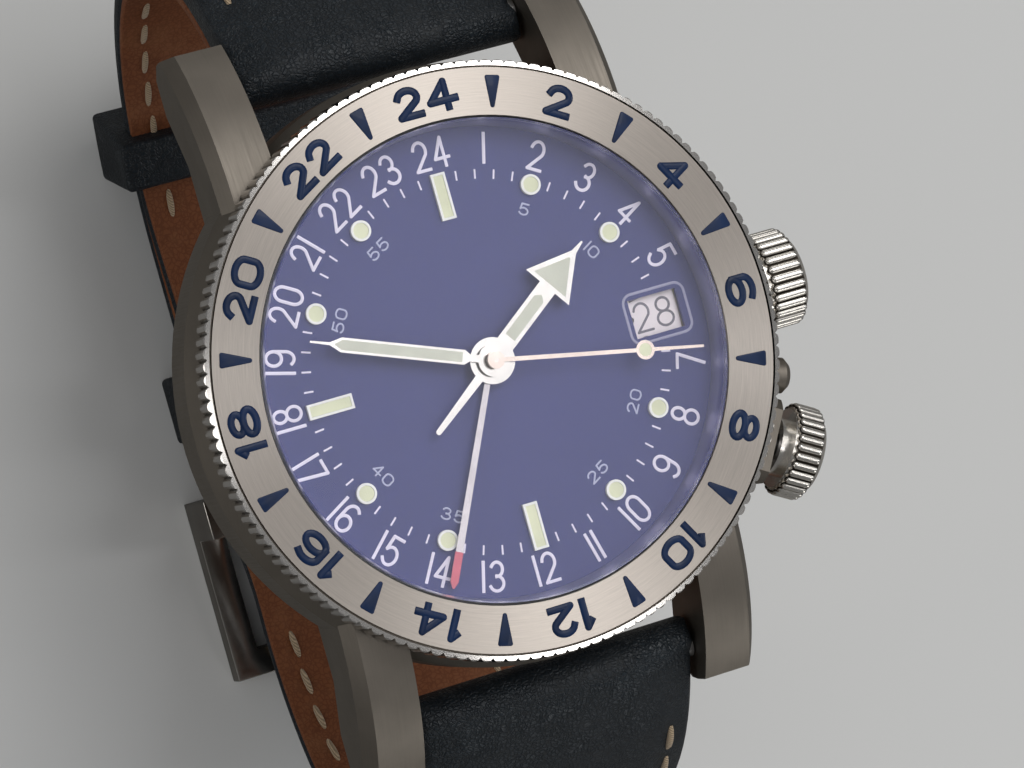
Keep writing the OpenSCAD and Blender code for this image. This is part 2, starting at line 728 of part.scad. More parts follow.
module hour_hand() color([0.93, 0.92, 0.9]) pointing(hour_points, hour_hand_z) bored(hour_out)
    linear_extrude(height = hand_t) {
        difference() {
            union() {
                polygon([[-hour_tail + 0.2, -0.2], [-0.6, -0.34], [-0.6, -stem_half],
                    [arrow_at, -stem_half], [arrow_at, -arrow_half], [arrow_tip, -0.2],
                    [hour_l, -0.06], [hour_l, 0.06], [arrow_tip, 0.2], [arrow_at, arrow_half],
                    [arrow_at, stem_half], [-0.6, stem_half], [-0.6, 0.34], [-hour_tail + 0.2, 0.2]]);
                translate([-hour_tail + 0.21, 0]) circle(r = 0.2, $fn = 24);
                circle(r = hub_r);
            }
            polygon([[2.1, -slot_half], [hour_slot_end, -slot_half], [hour_slot_end + 0.35, -0.05],
                [hour_slot_end + 0.35, 0.05], [hour_slot_end, slot_half], [2.1, slot_half]]);
            polygon([[arrow_at + 0.3, -arrow_half + 0.55], [arrow_tip - 0.5, -0.06],
                [arrow_tip - 0.5, 0.06], [arrow_at + 0.3, arrow_half - 0.55]]);
        }
    }

minute_body = minute_l - 2.25;
minute_start = 2.15;
minute_half = 0.52;
minute_rim = 0.17;

module minute_hand() color([0.93, 0.92, 0.9]) pointing(minute_points, minute_hand_z) bored(cannon_out)
    linear_extrude(height = hand_t) {
        difference() {
            union() {
                polygon([[0, -0.3], [minute_start - 0.4, -0.24], [minute_start, -minute_half],
                    [minute_body, -minute_half], [minute_body + 0.85, -0.1], [minute_l, -0.07],
                    [minute_l, 0.07], [minute_body + 0.85, 0.1], [minute_body, minute_half],
                    [minute_start, minute_half], [minute_start - 0.4, 0.24], [0, 0.3]]);
                circle(r = hub_r - 0.5);
            }
            polygon([[minute_start + 0.15, -minute_half + minute_rim],
                [minute_body - 0.06, -minute_half + minute_rim], [minute_body + 0.45, -0.04],
                [minute_body + 0.45, 0.04], [minute_body - 0.06, minute_half - minute_rim],
                [minute_start + 0.15, minute_half - minute_rim]]);
        }
    }

seconds_ball_at = 11.1;
seconds_ball_r = 0.69;

module seconds_hand() color([0.85, 0.66, 0.55]) pointing(seconds_points, seconds_hand_z) {
    bored(sweep_arbor_r) {
        linear_extrude(height = hand_t) difference() {
            union() {
                polygon([[0, -0.16], [seconds_ball_at, -0.14], [seconds_l, -0.09], [seconds_l, 0.09],
                    [seconds_ball_at, 0.14], [0, 0.16]]);
                translate([seconds_ball_at, 0]) circle(r = seconds_ball_r);
                circle(r = 0.62);
            }
            translate([seconds_ball_at, 0]) circle(r = seconds_ball_r - 0.22);
        }
        cylinder(r = 0.62, h = 0.3);
    }
}

zone_half = 0.27;

module zone_hand() color([0.9, 0.9, 0.9]) pointing(zone_points, zone_hand_z) bored(zone_out)
    linear_extrude(height = hand_t) {
        polygon([[0, -zone_half + 0.06], [zone_l - 0.45, -zone_half], [zone_l, -0.05],
            [zone_l, 0.05], [zone_l - 0.45, zone_half], [0, zone_half - 0.06]]);
        circle(r = hub_r - 0.2);
    }

// Motion works, between the dial and the main plate

module pipe(r_out, r_in, z_low, z_high) ring(r_out, r_in, z_low, z_high);

minute_turn = mesh(minute_a, cannon_n, minute_a, minute_n);
hour_turn = mesh(minute_a + 180, minute_pinion_n, minute_a + 180, hour_n);

module zone_wheel() color([0.8, 0.68, 0.35]) on_dial() {
    translate([0, 0, zone_z]) bored(zone_in) spoked(hour_n, motion_m, wheel_t, hour_turn, zone_out + 0.5);
    pipe(zone_out, zone_in, zone_z, zone_hand_z + hand_t);
}

module hour_wheel() color([0.8, 0.68, 0.35]) on_dial() {
    translate([0, 0, hour_z]) bored(hour_in) spoked(hour_n, motion_m, wheel_t, hour_turn, hour_out + 0.5);
    pipe(hour_out, hour_in, hour_z, hour_hand_z + hand_t);
}

module cannon_pinion() color([0.75, 0.75, 0.76]) on_dial() {
    translate([0, 0, cannon_z]) bored(cannon_in) teeth(cannon_n, cannon_m, cannon_l, minute_a);
    pipe(cannon_out, cannon_in, cannon_z - 0.2, minute_hand_z + hand_t);
}

module minute_wheel() color([0.8, 0.68, 0.35]) on_dial() translate(minute_at) {
    translate([0, 0, cannon_z]) spoked(minute_n, cannon_m, minute_t, minute_turn, 0.8);
    translate([0, 0, cannon_z + minute_t - 0.01])
        teeth(minute_pinion_n, motion_m, zone_z + wheel_t - cannon_z - minute_t, minute_a + 180);
    translate([0, 0, plate_top - 0.8]) cylinder(r = arbor_r, h = cannon_z - plate_top + 0.9);
}

finger_r = disc_rail_r - date_far - 0.15;

module date_driver() color([0.8, 0.68, 0.35]) on_dial() translate(date_at) {
    translate([0, 0, hour_z])
        spoked(date_n, motion_m, wheel_t, mesh(date_a, hour_n, hour_turn, date_n), 0.8);
    translate([0, 0, disc_top - disc_t - 0.12]) linear_extrude(height = 0.16)
        polygon([[0, -0.5], [finger_r, -0.15], [finger_r, 0.15], [0, 0.5]]);
    translate([0, 0, plate_top - 0.8]) cylinder(r = arbor_r + 0.1, h = disc_top - plate_top + 0.72);
}

// The date ring, with the teeth that the finger moves on
module date_disc() color([0.93, 0.92, 0.9]) on_dial() translate([0, 0, disc_top - disc_t]) difference() {
    cylinder(r = disc_out, h = disc_t, $fn = 128);
    translate([0, 0, -1]) linear_extrude(height = 3) polygon([for (i = [0:61])
        polar(disc_in + (i % 2 == 0 ? 0.55 : 0), i * 180 / 31)]);
}

// Running train, between the main plate and the bridges

module great_wheel() color([0.8, 0.68, 0.35]) on_dial() translate(great_at) {
    translate([0, 0, cannon_z]) teeth(great_drive_n, cannon_m, cannon_l,
        mesh(bearing(minute_at, great_at), minute_n, minute_turn, great_drive_n));
    translate([0, 0, great_z]) spoked(great_n, train_m, wheel_t, bearing(great_at, third_at), 0.8);
    translate([0, 0, barrel_z]) teeth(great_pinion_n, barrel_m, great_z - barrel_z,
        mesh(bearing(barrel_at, great_at), barrel_n, bearing(barrel_at, great_at), great_pinion_n));
    translate([0, 0, bridge_top - 0.4]) cylinder(r = arbor_r, h = cannon_z - bridge_top + 0.5);
}

module third_wheel() color([0.8, 0.68, 0.35]) on_dial() translate(third_at) {
    translate([0, 0, third_z]) spoked(third_n, train_m, wheel_t, third_a + 180, 0.7);
    translate([0, 0, third_z + wheel_t]) teeth(third_pinion_n, train_m, great_z - third_z,
        mesh(bearing(great_at, third_at), great_n, bearing(great_at, third_at), third_pinion_n));
    translate([0, 0, bridge_top - 0.4]) cylinder(r = arbor_r, h = plate_low - bridge_top + 0.9);
}

module sweep_wheel() color([0.8, 0.68, 0.35]) on_dial() {
    translate([0, 0, sweep_z]) spoked(sweep_n, escape_m, wheel_t, escape_a, 0.6);
    translate([0, 0, third_z - 0.05]) teeth(sweep_pinion_n, train_m, sweep_z - third_z + 0.06,
        mesh(third_a + 180, third_n, third_a + 180, sweep_pinion_n));
    translate([0, 0, bridge_top - 0.4])
        cylinder(r = sweep_arbor_r, h = seconds_hand_z + 0.3 - bridge_top + 0.4);
}

module barrel() color([0.82, 0.72, 0.4]) on_dial() translate(barrel_at) {
    difference() {
        union() {
            translate([0, 0, barrel_z]) teeth(barrel_n, barrel_m, wheel_t, bearing(barrel_at, great_at));
            translate([0, 0, barrel_low])
                cylinder(r = barrel_m * barrel_n / 2 - 0.2, h = barrel_z - barrel_low);
        }
        translate([0, 0, barrel_low + 0.1])
            cylinder(r = barrel_m * barrel_n / 2 - 0.45, h = barrel_z - barrel_low - 0.15);
    }
    translate([0, 0, bridge_top - 0.4]) cylinder(r = barrel_arbor_r, h = plate_low - bridge_top + 0.8);
}

// The mainspring, as the closed spiral strip that fills the barrel
spring_turns = 5;
module mainspring() color([0.35, 0.4, 0.5]) on_dial()
    translate([barrel_at[0], barrel_at[1], barrel_low + 0.14])
    linear_extrude(height = barrel_z - barrel_low - 0.22) polygon(concat(
        [for (i = [0:spring_turns * 12]) polar(0.9 + i * spring_step, i * 30)],
        [for (i = [spring_turns * 12:-1:0]) polar(0.9 + i * spring_step + 0.22, i * 30)]));
spring_step = (barrel_m * barrel_n / 2 - 0.5 - 0.22 - 0.9) / (spring_turns * 12);

module escape_wheel() color([0.8, 0.8, 0.8]) on_dial() translate(escape_at) {
    translate([0, 0, escape_z]) difference() {
        linear_extrude(height = wheel_t) polygon([for (i = [0:escape_n * 3 - 1]) let (k = floor(i / 3),
            s = i % 3) polar([2.3, 1.75, 1.75][s], k * 360 / escape_n + [0, -3, 9][s])]);
        for (i = [0:3]) rotate([0, 0, i * 90 + 45]) translate([1.0, 0, -1]) cylinder(r = 0.4, h = 3);
    }
    translate([0, 0, escape_z + wheel_t]) teeth(escape_pinion_n, escape_m, sweep_z - escape_z,
        mesh(escape_a, sweep_n, escape_a, escape_pinion_n));
    translate([0, 0, bridge_top - 0.4]) cylinder(r = fine_pivot_r, h = plate_low - bridge_top + 0.9);
}

fork_l = 3.1;
module pallet_fork() color([0.75, 0.75, 0.75]) on_dial() translate(fork_at) rotate([0, 0, fork_a]) {
    translate([0, 0, escape_z]) linear_extrude(height = wheel_t) {
        polygon([[-0.3, -1.5], [0.2, -1.5], [0.3, -0.3], [fork_l - 0.6, -0.15],
            [fork_l - 0.6, 0.15], [0.3, 0.3],
            [0.2, 1.5], [-0.3, 1.5], [-0.3, 0.3], [-0.3, -0.3]]);
        polygon([[fork_l - 0.6, -0.35], [fork_l - 0.1, -0.35], [fork_l - 0.1, -0.2], [fork_l - 0.5, -0.1],
            [fork_l - 0.5, 0.1], [fork_l - 0.1, 0.2], [fork_l - 0.1, 0.35], [fork_l - 0.6, 0.35]]);
    }
    translate([0, 0, bridge_top - 0.3]) cylinder(r = fine_pivot_r, h = plate_low - bridge_top + 0.7);
}

balance_z = -4.35;
module balance_wheel() color([0.85, 0.75, 0.4]) on_dial() translate(balance_at) {
    ring(balance_d / 2, balance_d / 2 - 0.45, balance_z, balance_z + 0.4);
    for (i = [0:2]) rotate([0, 0, i * 120 + fork_a]) translate([0, -0.2, balance_z + 0.1])
        cube([balance_d / 2 - 0.2, 0.4, 0.2]);
    translate([0, 0, balance_z]) cylinder(r = 0.5, h = 0.4);
    translate([0, 0, escape_z - 0.02]) cylinder(r = 0.3, h = balance_z - escape_z + 0.1);
    translate([0, 0, bridge_top - 0.4]) cylinder(r = fine_pivot_r, h = plate_low - bridge_top + 0.8);
}

// The hairspring: a flat spiral from the collet towards the stud
hair_turns = 6;
module balance_spring() color([0.3, 0.35, 0.6]) on_dial()
    translate([balance_at[0], balance_at[1], balance_z + 0.46])
    linear_extrude(height = 0.1) polygon(concat(
        [for (i = [0:hair_turns * 16]) polar(0.55 + i * 0.021, i * 22.5)],
        [for (i = [hair_turns * 16:-1:0]) polar(0.55 + i * 0.021 + 0.07, i * 22.5)]));

// Plate, bridges and holder

module main_plate() color([0.82, 0.78, 0.66]) on_dial() difference() {
    union() {
        translate([0, 0, plate_low]) cylinder(r = plate_r, h = plate_top - plate_low, $fn = 128);
        ring(plate_r, disc_rail_r, plate_top - 0.1, disc_top - disc_t - slip);
        ring(plate_r, disc_out + 0.1, plate_top - 0.1, -dial_t - 0.05);
        difference() {
            ring(plate_r, plate_r - 1.4, bridge_top, plate_low + 0.1);
            translate([balance_at[0], balance_at[1], bridge_top - 1])
                cylinder(r = balance_d / 2 + 0.4, h = 3);
            translate([barrel_at[0], barrel_at[1], bridge_top - 1])
                cylinder(r = barrel_m * barrel_n / 2 + 0.3, h = 3);
            translate([great_at[0], great_at[1], bridge_top - 1])
                cylinder(r = train_m * great_n / 2 + 0.3, h = 3);
        }
    }
    for (p = [great_at, third_at, date_at, minute_at, barrel_at]) translate([p[0], p[1], plate_low - 1])
        cylinder(r = p == barrel_at ? barrel_arbor_r + slip
            : p == date_at ? arbor_r + 0.1 + slip : pivot_hole_r, h = 3);
    translate([0, 0, plate_low - 1]) cylinder(r = sweep_arbor_r + slip, h = 3);
    for (p = [escape_at, fork_at, balance_at]) translate([p[0], p[1], plate_low - 1])
        cylinder(r = fine_pivot_r + slip, h = 3);
    at_clock(90) rod(stem_r + 0.1, stem_end - 0.2, plate_r + 1);
    translate([pinion_x - 0.3, -1.1, crown_z - 1.1]) cube([pinion_l + 0.6, 2.2, 2.2]);
}

pillar_r = 0.9;
cock_foot = polar(bridge_r - 1.3, balance_a - 32);
screws = concat([for (a = [25, 75, 125, 225]) polar(bridge_r - 1, a)], [cock_foot]);

// The bridge's and the cock's outlines, seen from above
module cock_plan(grow) {
    translate(balance_at) circle(r = 1.5 + grow);
    translate(cock_foot) circle(r = pillar_r + 0.3 + grow);
    translate(balance_at) rotate([0, 0, bearing(balance_at, cock_foot)])
        translate([0, -0.9 - grow]) square([norm(cock_foot - balance_at), 1.8 + 2 * grow]);
}

module screw_holes() for (p = screws) translate([p[0], p[1], bridge_low - 1]) cylinder(r = 0.36, h = 4);

module train_bridge() color([0.8, 0.8, 0.8]) on_dial() difference() {
    union() {
        translate([0, 0, bridge_low]) linear_extrude(height = bridge_top - bridge_low - slip) difference() {
            circle(r = bridge_r);
            translate(balance_at) circle(r = balance_d / 2 + 1.1);
            cock_plan(0.2);
            polygon([balance_at, cock_foot, cock_foot * 2, balance_at * 2]);
        }
        for (i = [0:3]) translate([screws[i][0], screws[i][1], bridge_low + 0.1])
            cylinder(r = pillar_r, h = plate_low - bridge_low - 0.1);
        translate([0, 0, rotor_web_z - rotor_web_t - 0.3]) cylinder(r = rotor_post_r, h = 1);
    }
    for (p = [great_at, third_at]) translate([p[0], p[1], bridge_low - 1])
        cylinder(r = pivot_hole_r, h = 3);
    translate([barrel_at[0], barrel_at[1], bridge_low - 1]) cylinder(r = barrel_arbor_r + slip, h = 3);
    for (p = [escape_at, fork_at]) translate([p[0], p[1], bridge_low - 1])
        cylinder(r = fine_pivot_r + slip, h = 3);
    translate([0, 0, bridge_top - 0.45]) cylinder(r = sweep_arbor_r + slip, h = 3);
    screw_holes();
}

module balance_cock() color([0.8, 0.8, 0.8]) on_dial() difference() {
    union() {
        translate([0, 0, bridge_low]) linear_extrude(height = bridge_top - bridge_low - slip) cock_plan(0);
        translate([cock_foot[0], cock_foot[1], bridge_low + 0.1])
            cylinder(r = pillar_r, h = plate_low - bridge_low - 0.1);
    }
    translate([balance_at[0], balance_at[1], bridge_low - 1]) cylinder(r = fine_pivot_r + slip, h = 3);
    screw_holes();
}

module bridge_screws() color([0.25, 0.3, 0.6]) on_dial() for (p = screws)
    translate([p[0], p[1], 0]) difference() {
    union() {
        translate([0, 0, bridge_low - 0.12]) cylinder(r = 0.7, h = 0.1);
        translate([0, 0, bridge_low - 0.1]) cylinder(r = 0.34, h = 1.8);
    }
    translate([-1, -0.06, bridge_low - 0.2]) cube([2, 0.12, 0.13]);
}

jewel_r = 0.55;
module jewels() color([0.75, 0.1, 0.25]) on_dial() for (p = [great_at, third_at, escape_at, fork_at])
    translate([p[0], p[1], 0]) ring(jewel_r, 0.3, bridge_low - 0.1, bridge_low - 0.01);

module movement_holder() color([0.75, 0.75, 0.73]) on_dial() difference() {
    ring(holder_r, plate_r + 0.05, bridge_top, -dial_t - 0.02);
    at_clock(90) rod(1.4, plate_r - 1, big);
}

// The winding rotor: a thin half disc with a heavy rim
rotor_gap_a = 205;
module half_plane(z_low, z_high) translate([0, 0, z_low]) rotate([0, 0, rotor_gap_a])
    translate([-big / 2, 0, 0]) cube([big, big / 2, z_high - z_low]);

module rotor() color([0.7, 0.7, 0.7]) on_dial() difference() {
    union() {
        intersection() {
            union() {
                ring(rotor_r, rotor_r - 1.6, rotor_rim_low, rotor_rim_top);
                translate([0, 0, rotor_web_z - rotor_web_t]) cylinder(r = rotor_r, h = rotor_web_t);
            }
            half_plane(-8, -4);
        }
        translate([0, 0, rotor_web_z - rotor_web_t]) cylinder(r = 2.6, h = rotor_web_t);
    }
    translate([0, 0, rotor_web_z - 3]) cylinder(r = rotor_post_r + slip, h = 6);
}

// Spring bars

module bar(half, tip, r_tube, r_tip) {
    rod(r_tube, -half, half);
    rod(r_tip, -half - tip, half + tip);
}

module lug_spring_bars() color([0.6, 0.6, 0.6]) on_dial() for (s = [-1, 1])
    translate([0, s * bar_y, bar_z]) bar(lug_in_x - 0.1, bar_tip_l, bar_tube_r, bar_tip_r);

module buckle_bar() color([0.6, 0.6, 0.6]) on_dial() translate([0, bar_end_y, buckle_bar_z])
    rod(buckle_bar_r, -frame_in_w / 2 - frame_side * 0.6, frame_in_w / 2 + frame_side * 0.6);

// Strap

upper_stations = upper_route();
upper_end = upper_stations[len(upper_stations) - 1][3];
lower_stations = lower_route();
lower_end = lower_stations[len(lower_stations) - 1][3];

module leather(stations, run_end, end_t, tip) skin([for (s = stations) let (t = thick_at(s[3], end_t))
    section(s, width_at(s[3], run_end, tip), t, s[3] < lining_from ? 0 : lining_t, t, true)]);

module lining(stations, run_end, end_t, tip) skin([for (s = stations) if (s[3] >= lining_from)
    let (t = thick_at(s[3], end_t)) section(s, width_at(s[3], run_end, tip), t, 0, lining_t - 0.01, false)]);
lining_from = 3.5;

// The fold round the lug's spring bar
module lug_fold() translate([0, bar_y, bar_z])
    rod(strap_pad_t / 2 + 0.1, -strap_w / 2 - 0.05, strap_w / 2 + 0.05);
module lug_bar_bore() translate([0, bar_y, bar_z]) rod(bar_tube_r + slip, -strap_w, strap_w);

module upper_strap_leather() color([0.06, 0.09, 0.13]) on_dial() difference() {
    union() {
        leather(upper_stations, upper_end, strap_t, false);
        lug_fold();
        translate([0, bar_end_y, buckle_bar_z])
            rod(fold_r, -strap_end_w / 2 - 0.05, strap_end_w / 2 + 0.05);
    }
    lug_bar_bore();
    translate([0, bar_end_y, buckle_bar_z]) rod(buckle_bar_r + slip, -strap_w, strap_w);
    translate([-slot_w / 2, bar_end_y - slot_back, buckle_bar_z - cut_h / 2]) cube([slot_w, slot_l, cut_h]);
}

module upper_strap_lining() color([0.45, 0.2, 0.06]) on_dial() difference() {
    lining(upper_stations, upper_end, strap_t, false);
    translate([0, bar_end_y, buckle_bar_z]) rod(fold_r + 0.02, -strap_w, strap_w);
    translate([-slot_w / 2, bar_end_y - slot_back, buckle_bar_z - cut_h / 2]) cube([slot_w, slot_l, cut_h]);
}

// Holes along the tail, the first one lying at the tongue
tongue_hole_y = bar_end_y - 2.2;
module tail_holes() {
    translate([-slot_w / 2, tongue_hole_y - tail_slot_back, tail_mid - tail_hole_h * 0.65])
        cube([slot_w, tail_slot_l, cut_h]);
    for (i = [1:holes - 2])
        translate([0, tongue_hole_y + 1 + i * hole_pitch, tail_mid - tail_hole_h * 0.65])
            cylinder(r = hole_r, h = tail_hole_h);
}

module lower_strap_leather() color([0.06, 0.09, 0.13]) on_dial() difference() {
    mirror([0, 1, 0]) difference() {
        union() {
            leather(lower_stations, lower_end, tail_t, true);
            lug_fold();
        }
        lug_bar_bore();
    }
    tail_holes();
}

module lower_strap_lining() color([0.45, 0.2, 0.06]) on_dial() difference() {
    mirror([0, 1, 0]) lining(lower_stations, lower_end, tail_t, true);
    tail_holes();
}

// Stitches lie on the outer face, along both edges
function stitched(run_end) = [for (i = [0:floor((run_end - 12) / stitch_pitch)])
    7 + i * stitch_pitch];
function station_at(stations, run, i = 0) = i >= len(stations) - 2 || stations[i + 1][3] > run
    ? let (a = stations[i], b = stations[i + 1], f = (run - a[3]) / (b[3] - a[3])) a + (b - a) * f
    : station_at(stations, run, i + 1);

module stitches(stations, run_end, end_t) for (run = stitched(run_end)) let (
    s = station_at(stations, run), up = thick_at(run, end_t) / 2 + stitch_r,
    w = width_at(run, run_end, false))
    for (side = [-1, 1])
        translate([side * (w / 2 - stitch_inset), s[0] - sin(s[2]) * up, s[1] + cos(s[2]) * up])
            rotate([s[2] + 90, 0, 0]) translate([0, 0, -stitch_l / 2])
                cylinder(r = stitch_r, h = stitch_l, $fn = 16);

module strap_thread() color([0.85, 0.78, 0.62]) on_dial() {
    stitches(upper_stations, low_run() - 2, strap_t);
    mirror([0, 1, 0]) stitches(lower_stations, low_run() - 2, tail_t);
}

// A band of keeper leather round both strap layers; y is its middle, at the lowest stretch
keeper_top = low_mid + strap_t / 2 + strap_gap;
keeper_low = tail_mid - tail_t / 2 - strap_gap;

module fixed_keeper() color([0.06, 0.09, 0.13]) on_dial() difference() {
    translate([-keeper_in_w / 2 - keeper_t, fixed_keeper_y - keeper_w / 2, keeper_low - keeper_t])
        cube([keeper_in_w + 2 * keeper_t, keeper_w, keeper_top - keeper_low + 2 * keeper_t]);
    translate([-keeper_in_w / 2, fixed_keeper_y - big / 2, keeper_low])
        cube([keeper_in_w, big, keeper_top - keeper_low]);
}

// The free keeper rides the round of the strap, about the bend's own centre
bend_centre = [low_y, low_mid + low_bend_r];
free_in_r = low_bend_r - strap_t / 2 - strap_gap;
free_out_r = wrap_r + tail_t / 2 + strap_gap;
free_span = keeper_w / free_out_r * 180 / PI;
free_slide = 10;
free_widest_run = low_run() - low_bend_r * (free_keeper_turn + free_slide + free_span / 2) * PI / 180;
free_in_w = width_at(free_widest_run, taper_run, false) + 0.2;

module free_keeper() color([0.06, 0.09, 0.13]) on_dial()
    translate([0, bend_centre[0], bend_centre[1]]) rotate([0, 90, 0]) difference() {
        keeper_sector(free_in_w / 2 + keeper_t, free_out_r + keeper_t, free_in_r - keeper_t);
        keeper_sector(free_in_w / 2, free_out_r, free_in_r);
    }

module keeper_sector(half, r_out, r_in) translate([0, 0, -half])
    linear_extrude(height = 2 * half) intersection() {
        difference() {
            circle(r = r_out, $fn = 128);
            circle(r = r_in, $fn = 128);
        }
        polygon([[0, 0], polar(2 * r_out, free_keeper_turn - free_span / 2),
            polar(2 * r_out, free_keeper_turn + free_span / 2)]);
    }

// Buckle

frame_low = floor_z;
frame_top = frame_low + buckle_t;

module buckle_frame() color([0.7, 0.69, 0.66]) on_dial() difference() {
    union() {
        for (s = [-1, 1])
            translate([s * (frame_in_w + frame_side) / 2 - frame_side / 2, frame_far_y + 1, frame_low])
                cube([frame_side, bar_end_y + 1.6 - frame_far_y - 1, buckle_t]);
        for (s = [-1, 1])
            translate([s * (frame_in_w + frame_side) / 2 - frame_side / 2, bar_end_y - 1.6, frame_low])
                cube([frame_side, 3.2, buckle_bar_z + 1.6 - frame_low]);
        translate([-frame_in_w / 2 - frame_side, frame_far_y, frame_low])
            cube([frame_in_w + 2 * frame_side, frame_bar, buckle_t]);
    }
    translate([0, bar_end_y, buckle_bar_z])
        rod(buckle_bar_r + slip, -frame_in_w / 2 - frame_side * 0.6 - slip,
            frame_in_w / 2 + frame_side * 0.6 + slip);
    translate([-tongue_w / 2 - 0.2, frame_far_y - 1, frame_low - 1])
        cube([tongue_w + 0.4, frame_bar + 2, 1 + tongue_t * 0.6 + 0.05]);
}

module buckle_tongue() color([0.7, 0.69, 0.66]) on_dial() difference() {
    union() {
        translate([0, bar_end_y, buckle_bar_z]) rod(tongue_r + 0.6, -tongue_w / 2, tongue_w / 2);
        translate([-tongue_w / 2, 0, 0]) rotate([90, 0, 90]) linear_extrude(height = tongue_w) polygon([
            [bar_end_y - 0.2, buckle_bar_z - tongue_r - 0.6], [bar_end_y - 1.3, buckle_bar_z - 0.2],
            [bar_end_y - 3.2, frame_low + tongue_t * 1.6],
            [frame_far_y + frame_bar + 0.3, frame_low + tongue_t * 0.6],
            [frame_far_y + 0.2, frame_low + tongue_t * 0.6],
            [frame_far_y + 0.2, frame_low + 0.1], [bar_end_y - 2.8, frame_low + 0.1 + tongue_t * 0.4]]);
    }
    translate([0, bar_end_y, buckle_bar_z]) rod(tongue_r, -tongue_w, tongue_w);
}

mid_case();
case_back();
case_back_gasket();
rehaut_ring();
crystal();
crystal_gasket();
dial();
marker_frames();
marker_lume();
movement_holder();
main_plate();
train_bridge();
balance_cock();
bridge_screws();
jewels();
crown_tube();
lock_crown_tube();
bezel_spring();
lug_spring_bars();
upper_strap_leather();
upper_strap_lining();
lower_strap_leather();
lower_strap_lining();
fixed_keeper();
strap_thread();
buckle_bar();
bezel();
crown();
winding_stem();
crown_gasket();
sliding_pinion();
lock_crown();
lock_spindle();
lock_gasket();
brake_shoe();
hour_hand();
minute_hand();
seconds_hand();
zone_hand();
hour_wheel();
zone_wheel();
cannon_pinion();
minute_wheel();
date_driver();
date_disc();
great_wheel();
third_wheel();
sweep_wheel();
barrel();
mainspring();
escape_wheel();
pallet_fork();
balance_wheel();
balance_spring();
rotor();
buckle_frame();
buckle_tongue();
free_keeper();
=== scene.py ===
"""Looks for a 24-hour wristwatch on a buckled leather strap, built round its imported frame."""
import logging
import math
from dataclasses import dataclass, field
from enum import Enum
from functools import cache

import bmesh
import bpy
from mathutils import Matrix, Vector


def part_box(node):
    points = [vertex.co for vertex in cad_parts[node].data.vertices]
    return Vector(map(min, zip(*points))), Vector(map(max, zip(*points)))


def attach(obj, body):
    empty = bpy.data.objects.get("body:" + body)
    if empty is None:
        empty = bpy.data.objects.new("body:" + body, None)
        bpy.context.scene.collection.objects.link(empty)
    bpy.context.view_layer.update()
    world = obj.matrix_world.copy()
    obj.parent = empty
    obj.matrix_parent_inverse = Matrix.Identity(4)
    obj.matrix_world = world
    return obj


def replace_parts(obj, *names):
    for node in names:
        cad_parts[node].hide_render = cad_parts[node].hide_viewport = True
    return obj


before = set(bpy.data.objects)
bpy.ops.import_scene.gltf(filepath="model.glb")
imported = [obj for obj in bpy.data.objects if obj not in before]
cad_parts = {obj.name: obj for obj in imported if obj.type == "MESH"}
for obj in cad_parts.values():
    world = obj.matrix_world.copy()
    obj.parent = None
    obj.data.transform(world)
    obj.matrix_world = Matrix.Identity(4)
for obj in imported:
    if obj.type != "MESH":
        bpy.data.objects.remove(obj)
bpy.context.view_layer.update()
LOG = logging.getLogger("watch")

MM = 0.001
DIAL_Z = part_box("dial")[1].z
HOUR_TURN = 15.0
MINUTE_TURN = 6.0
Color = tuple[float, float, float]
Triple = tuple[float, float, float]
Point = tuple[float, float]
Quad = tuple[float, float, float, float]
Stroke = tuple[list[Point], bool]
BMesh = bmesh.types.BMesh
Material = bpy.types.Material
Node = bpy.types.Node
Socket = bpy.types.NodeSocket


class Brushing(Enum):
    """Which way the brush ran over a metal face."""

    NONE = "polished"
    TURNED = "round the dial's axis"
    SUNRAY = "out from the dial's axis"
    ALONG_Y = "from 12 to 6 o'clock"


# Node helpers and shared effects

MARK_TURN = (0.5, 0.9, 0.7)
MARK_STRETCH = (0.35, 6.0, 0.6)


def rgba(color: Color, share: float = 1.0) -> Quad:
    """Returns an opaque colour, paler or darker by a share."""
    return (*(c * share for c in color), 1.0)


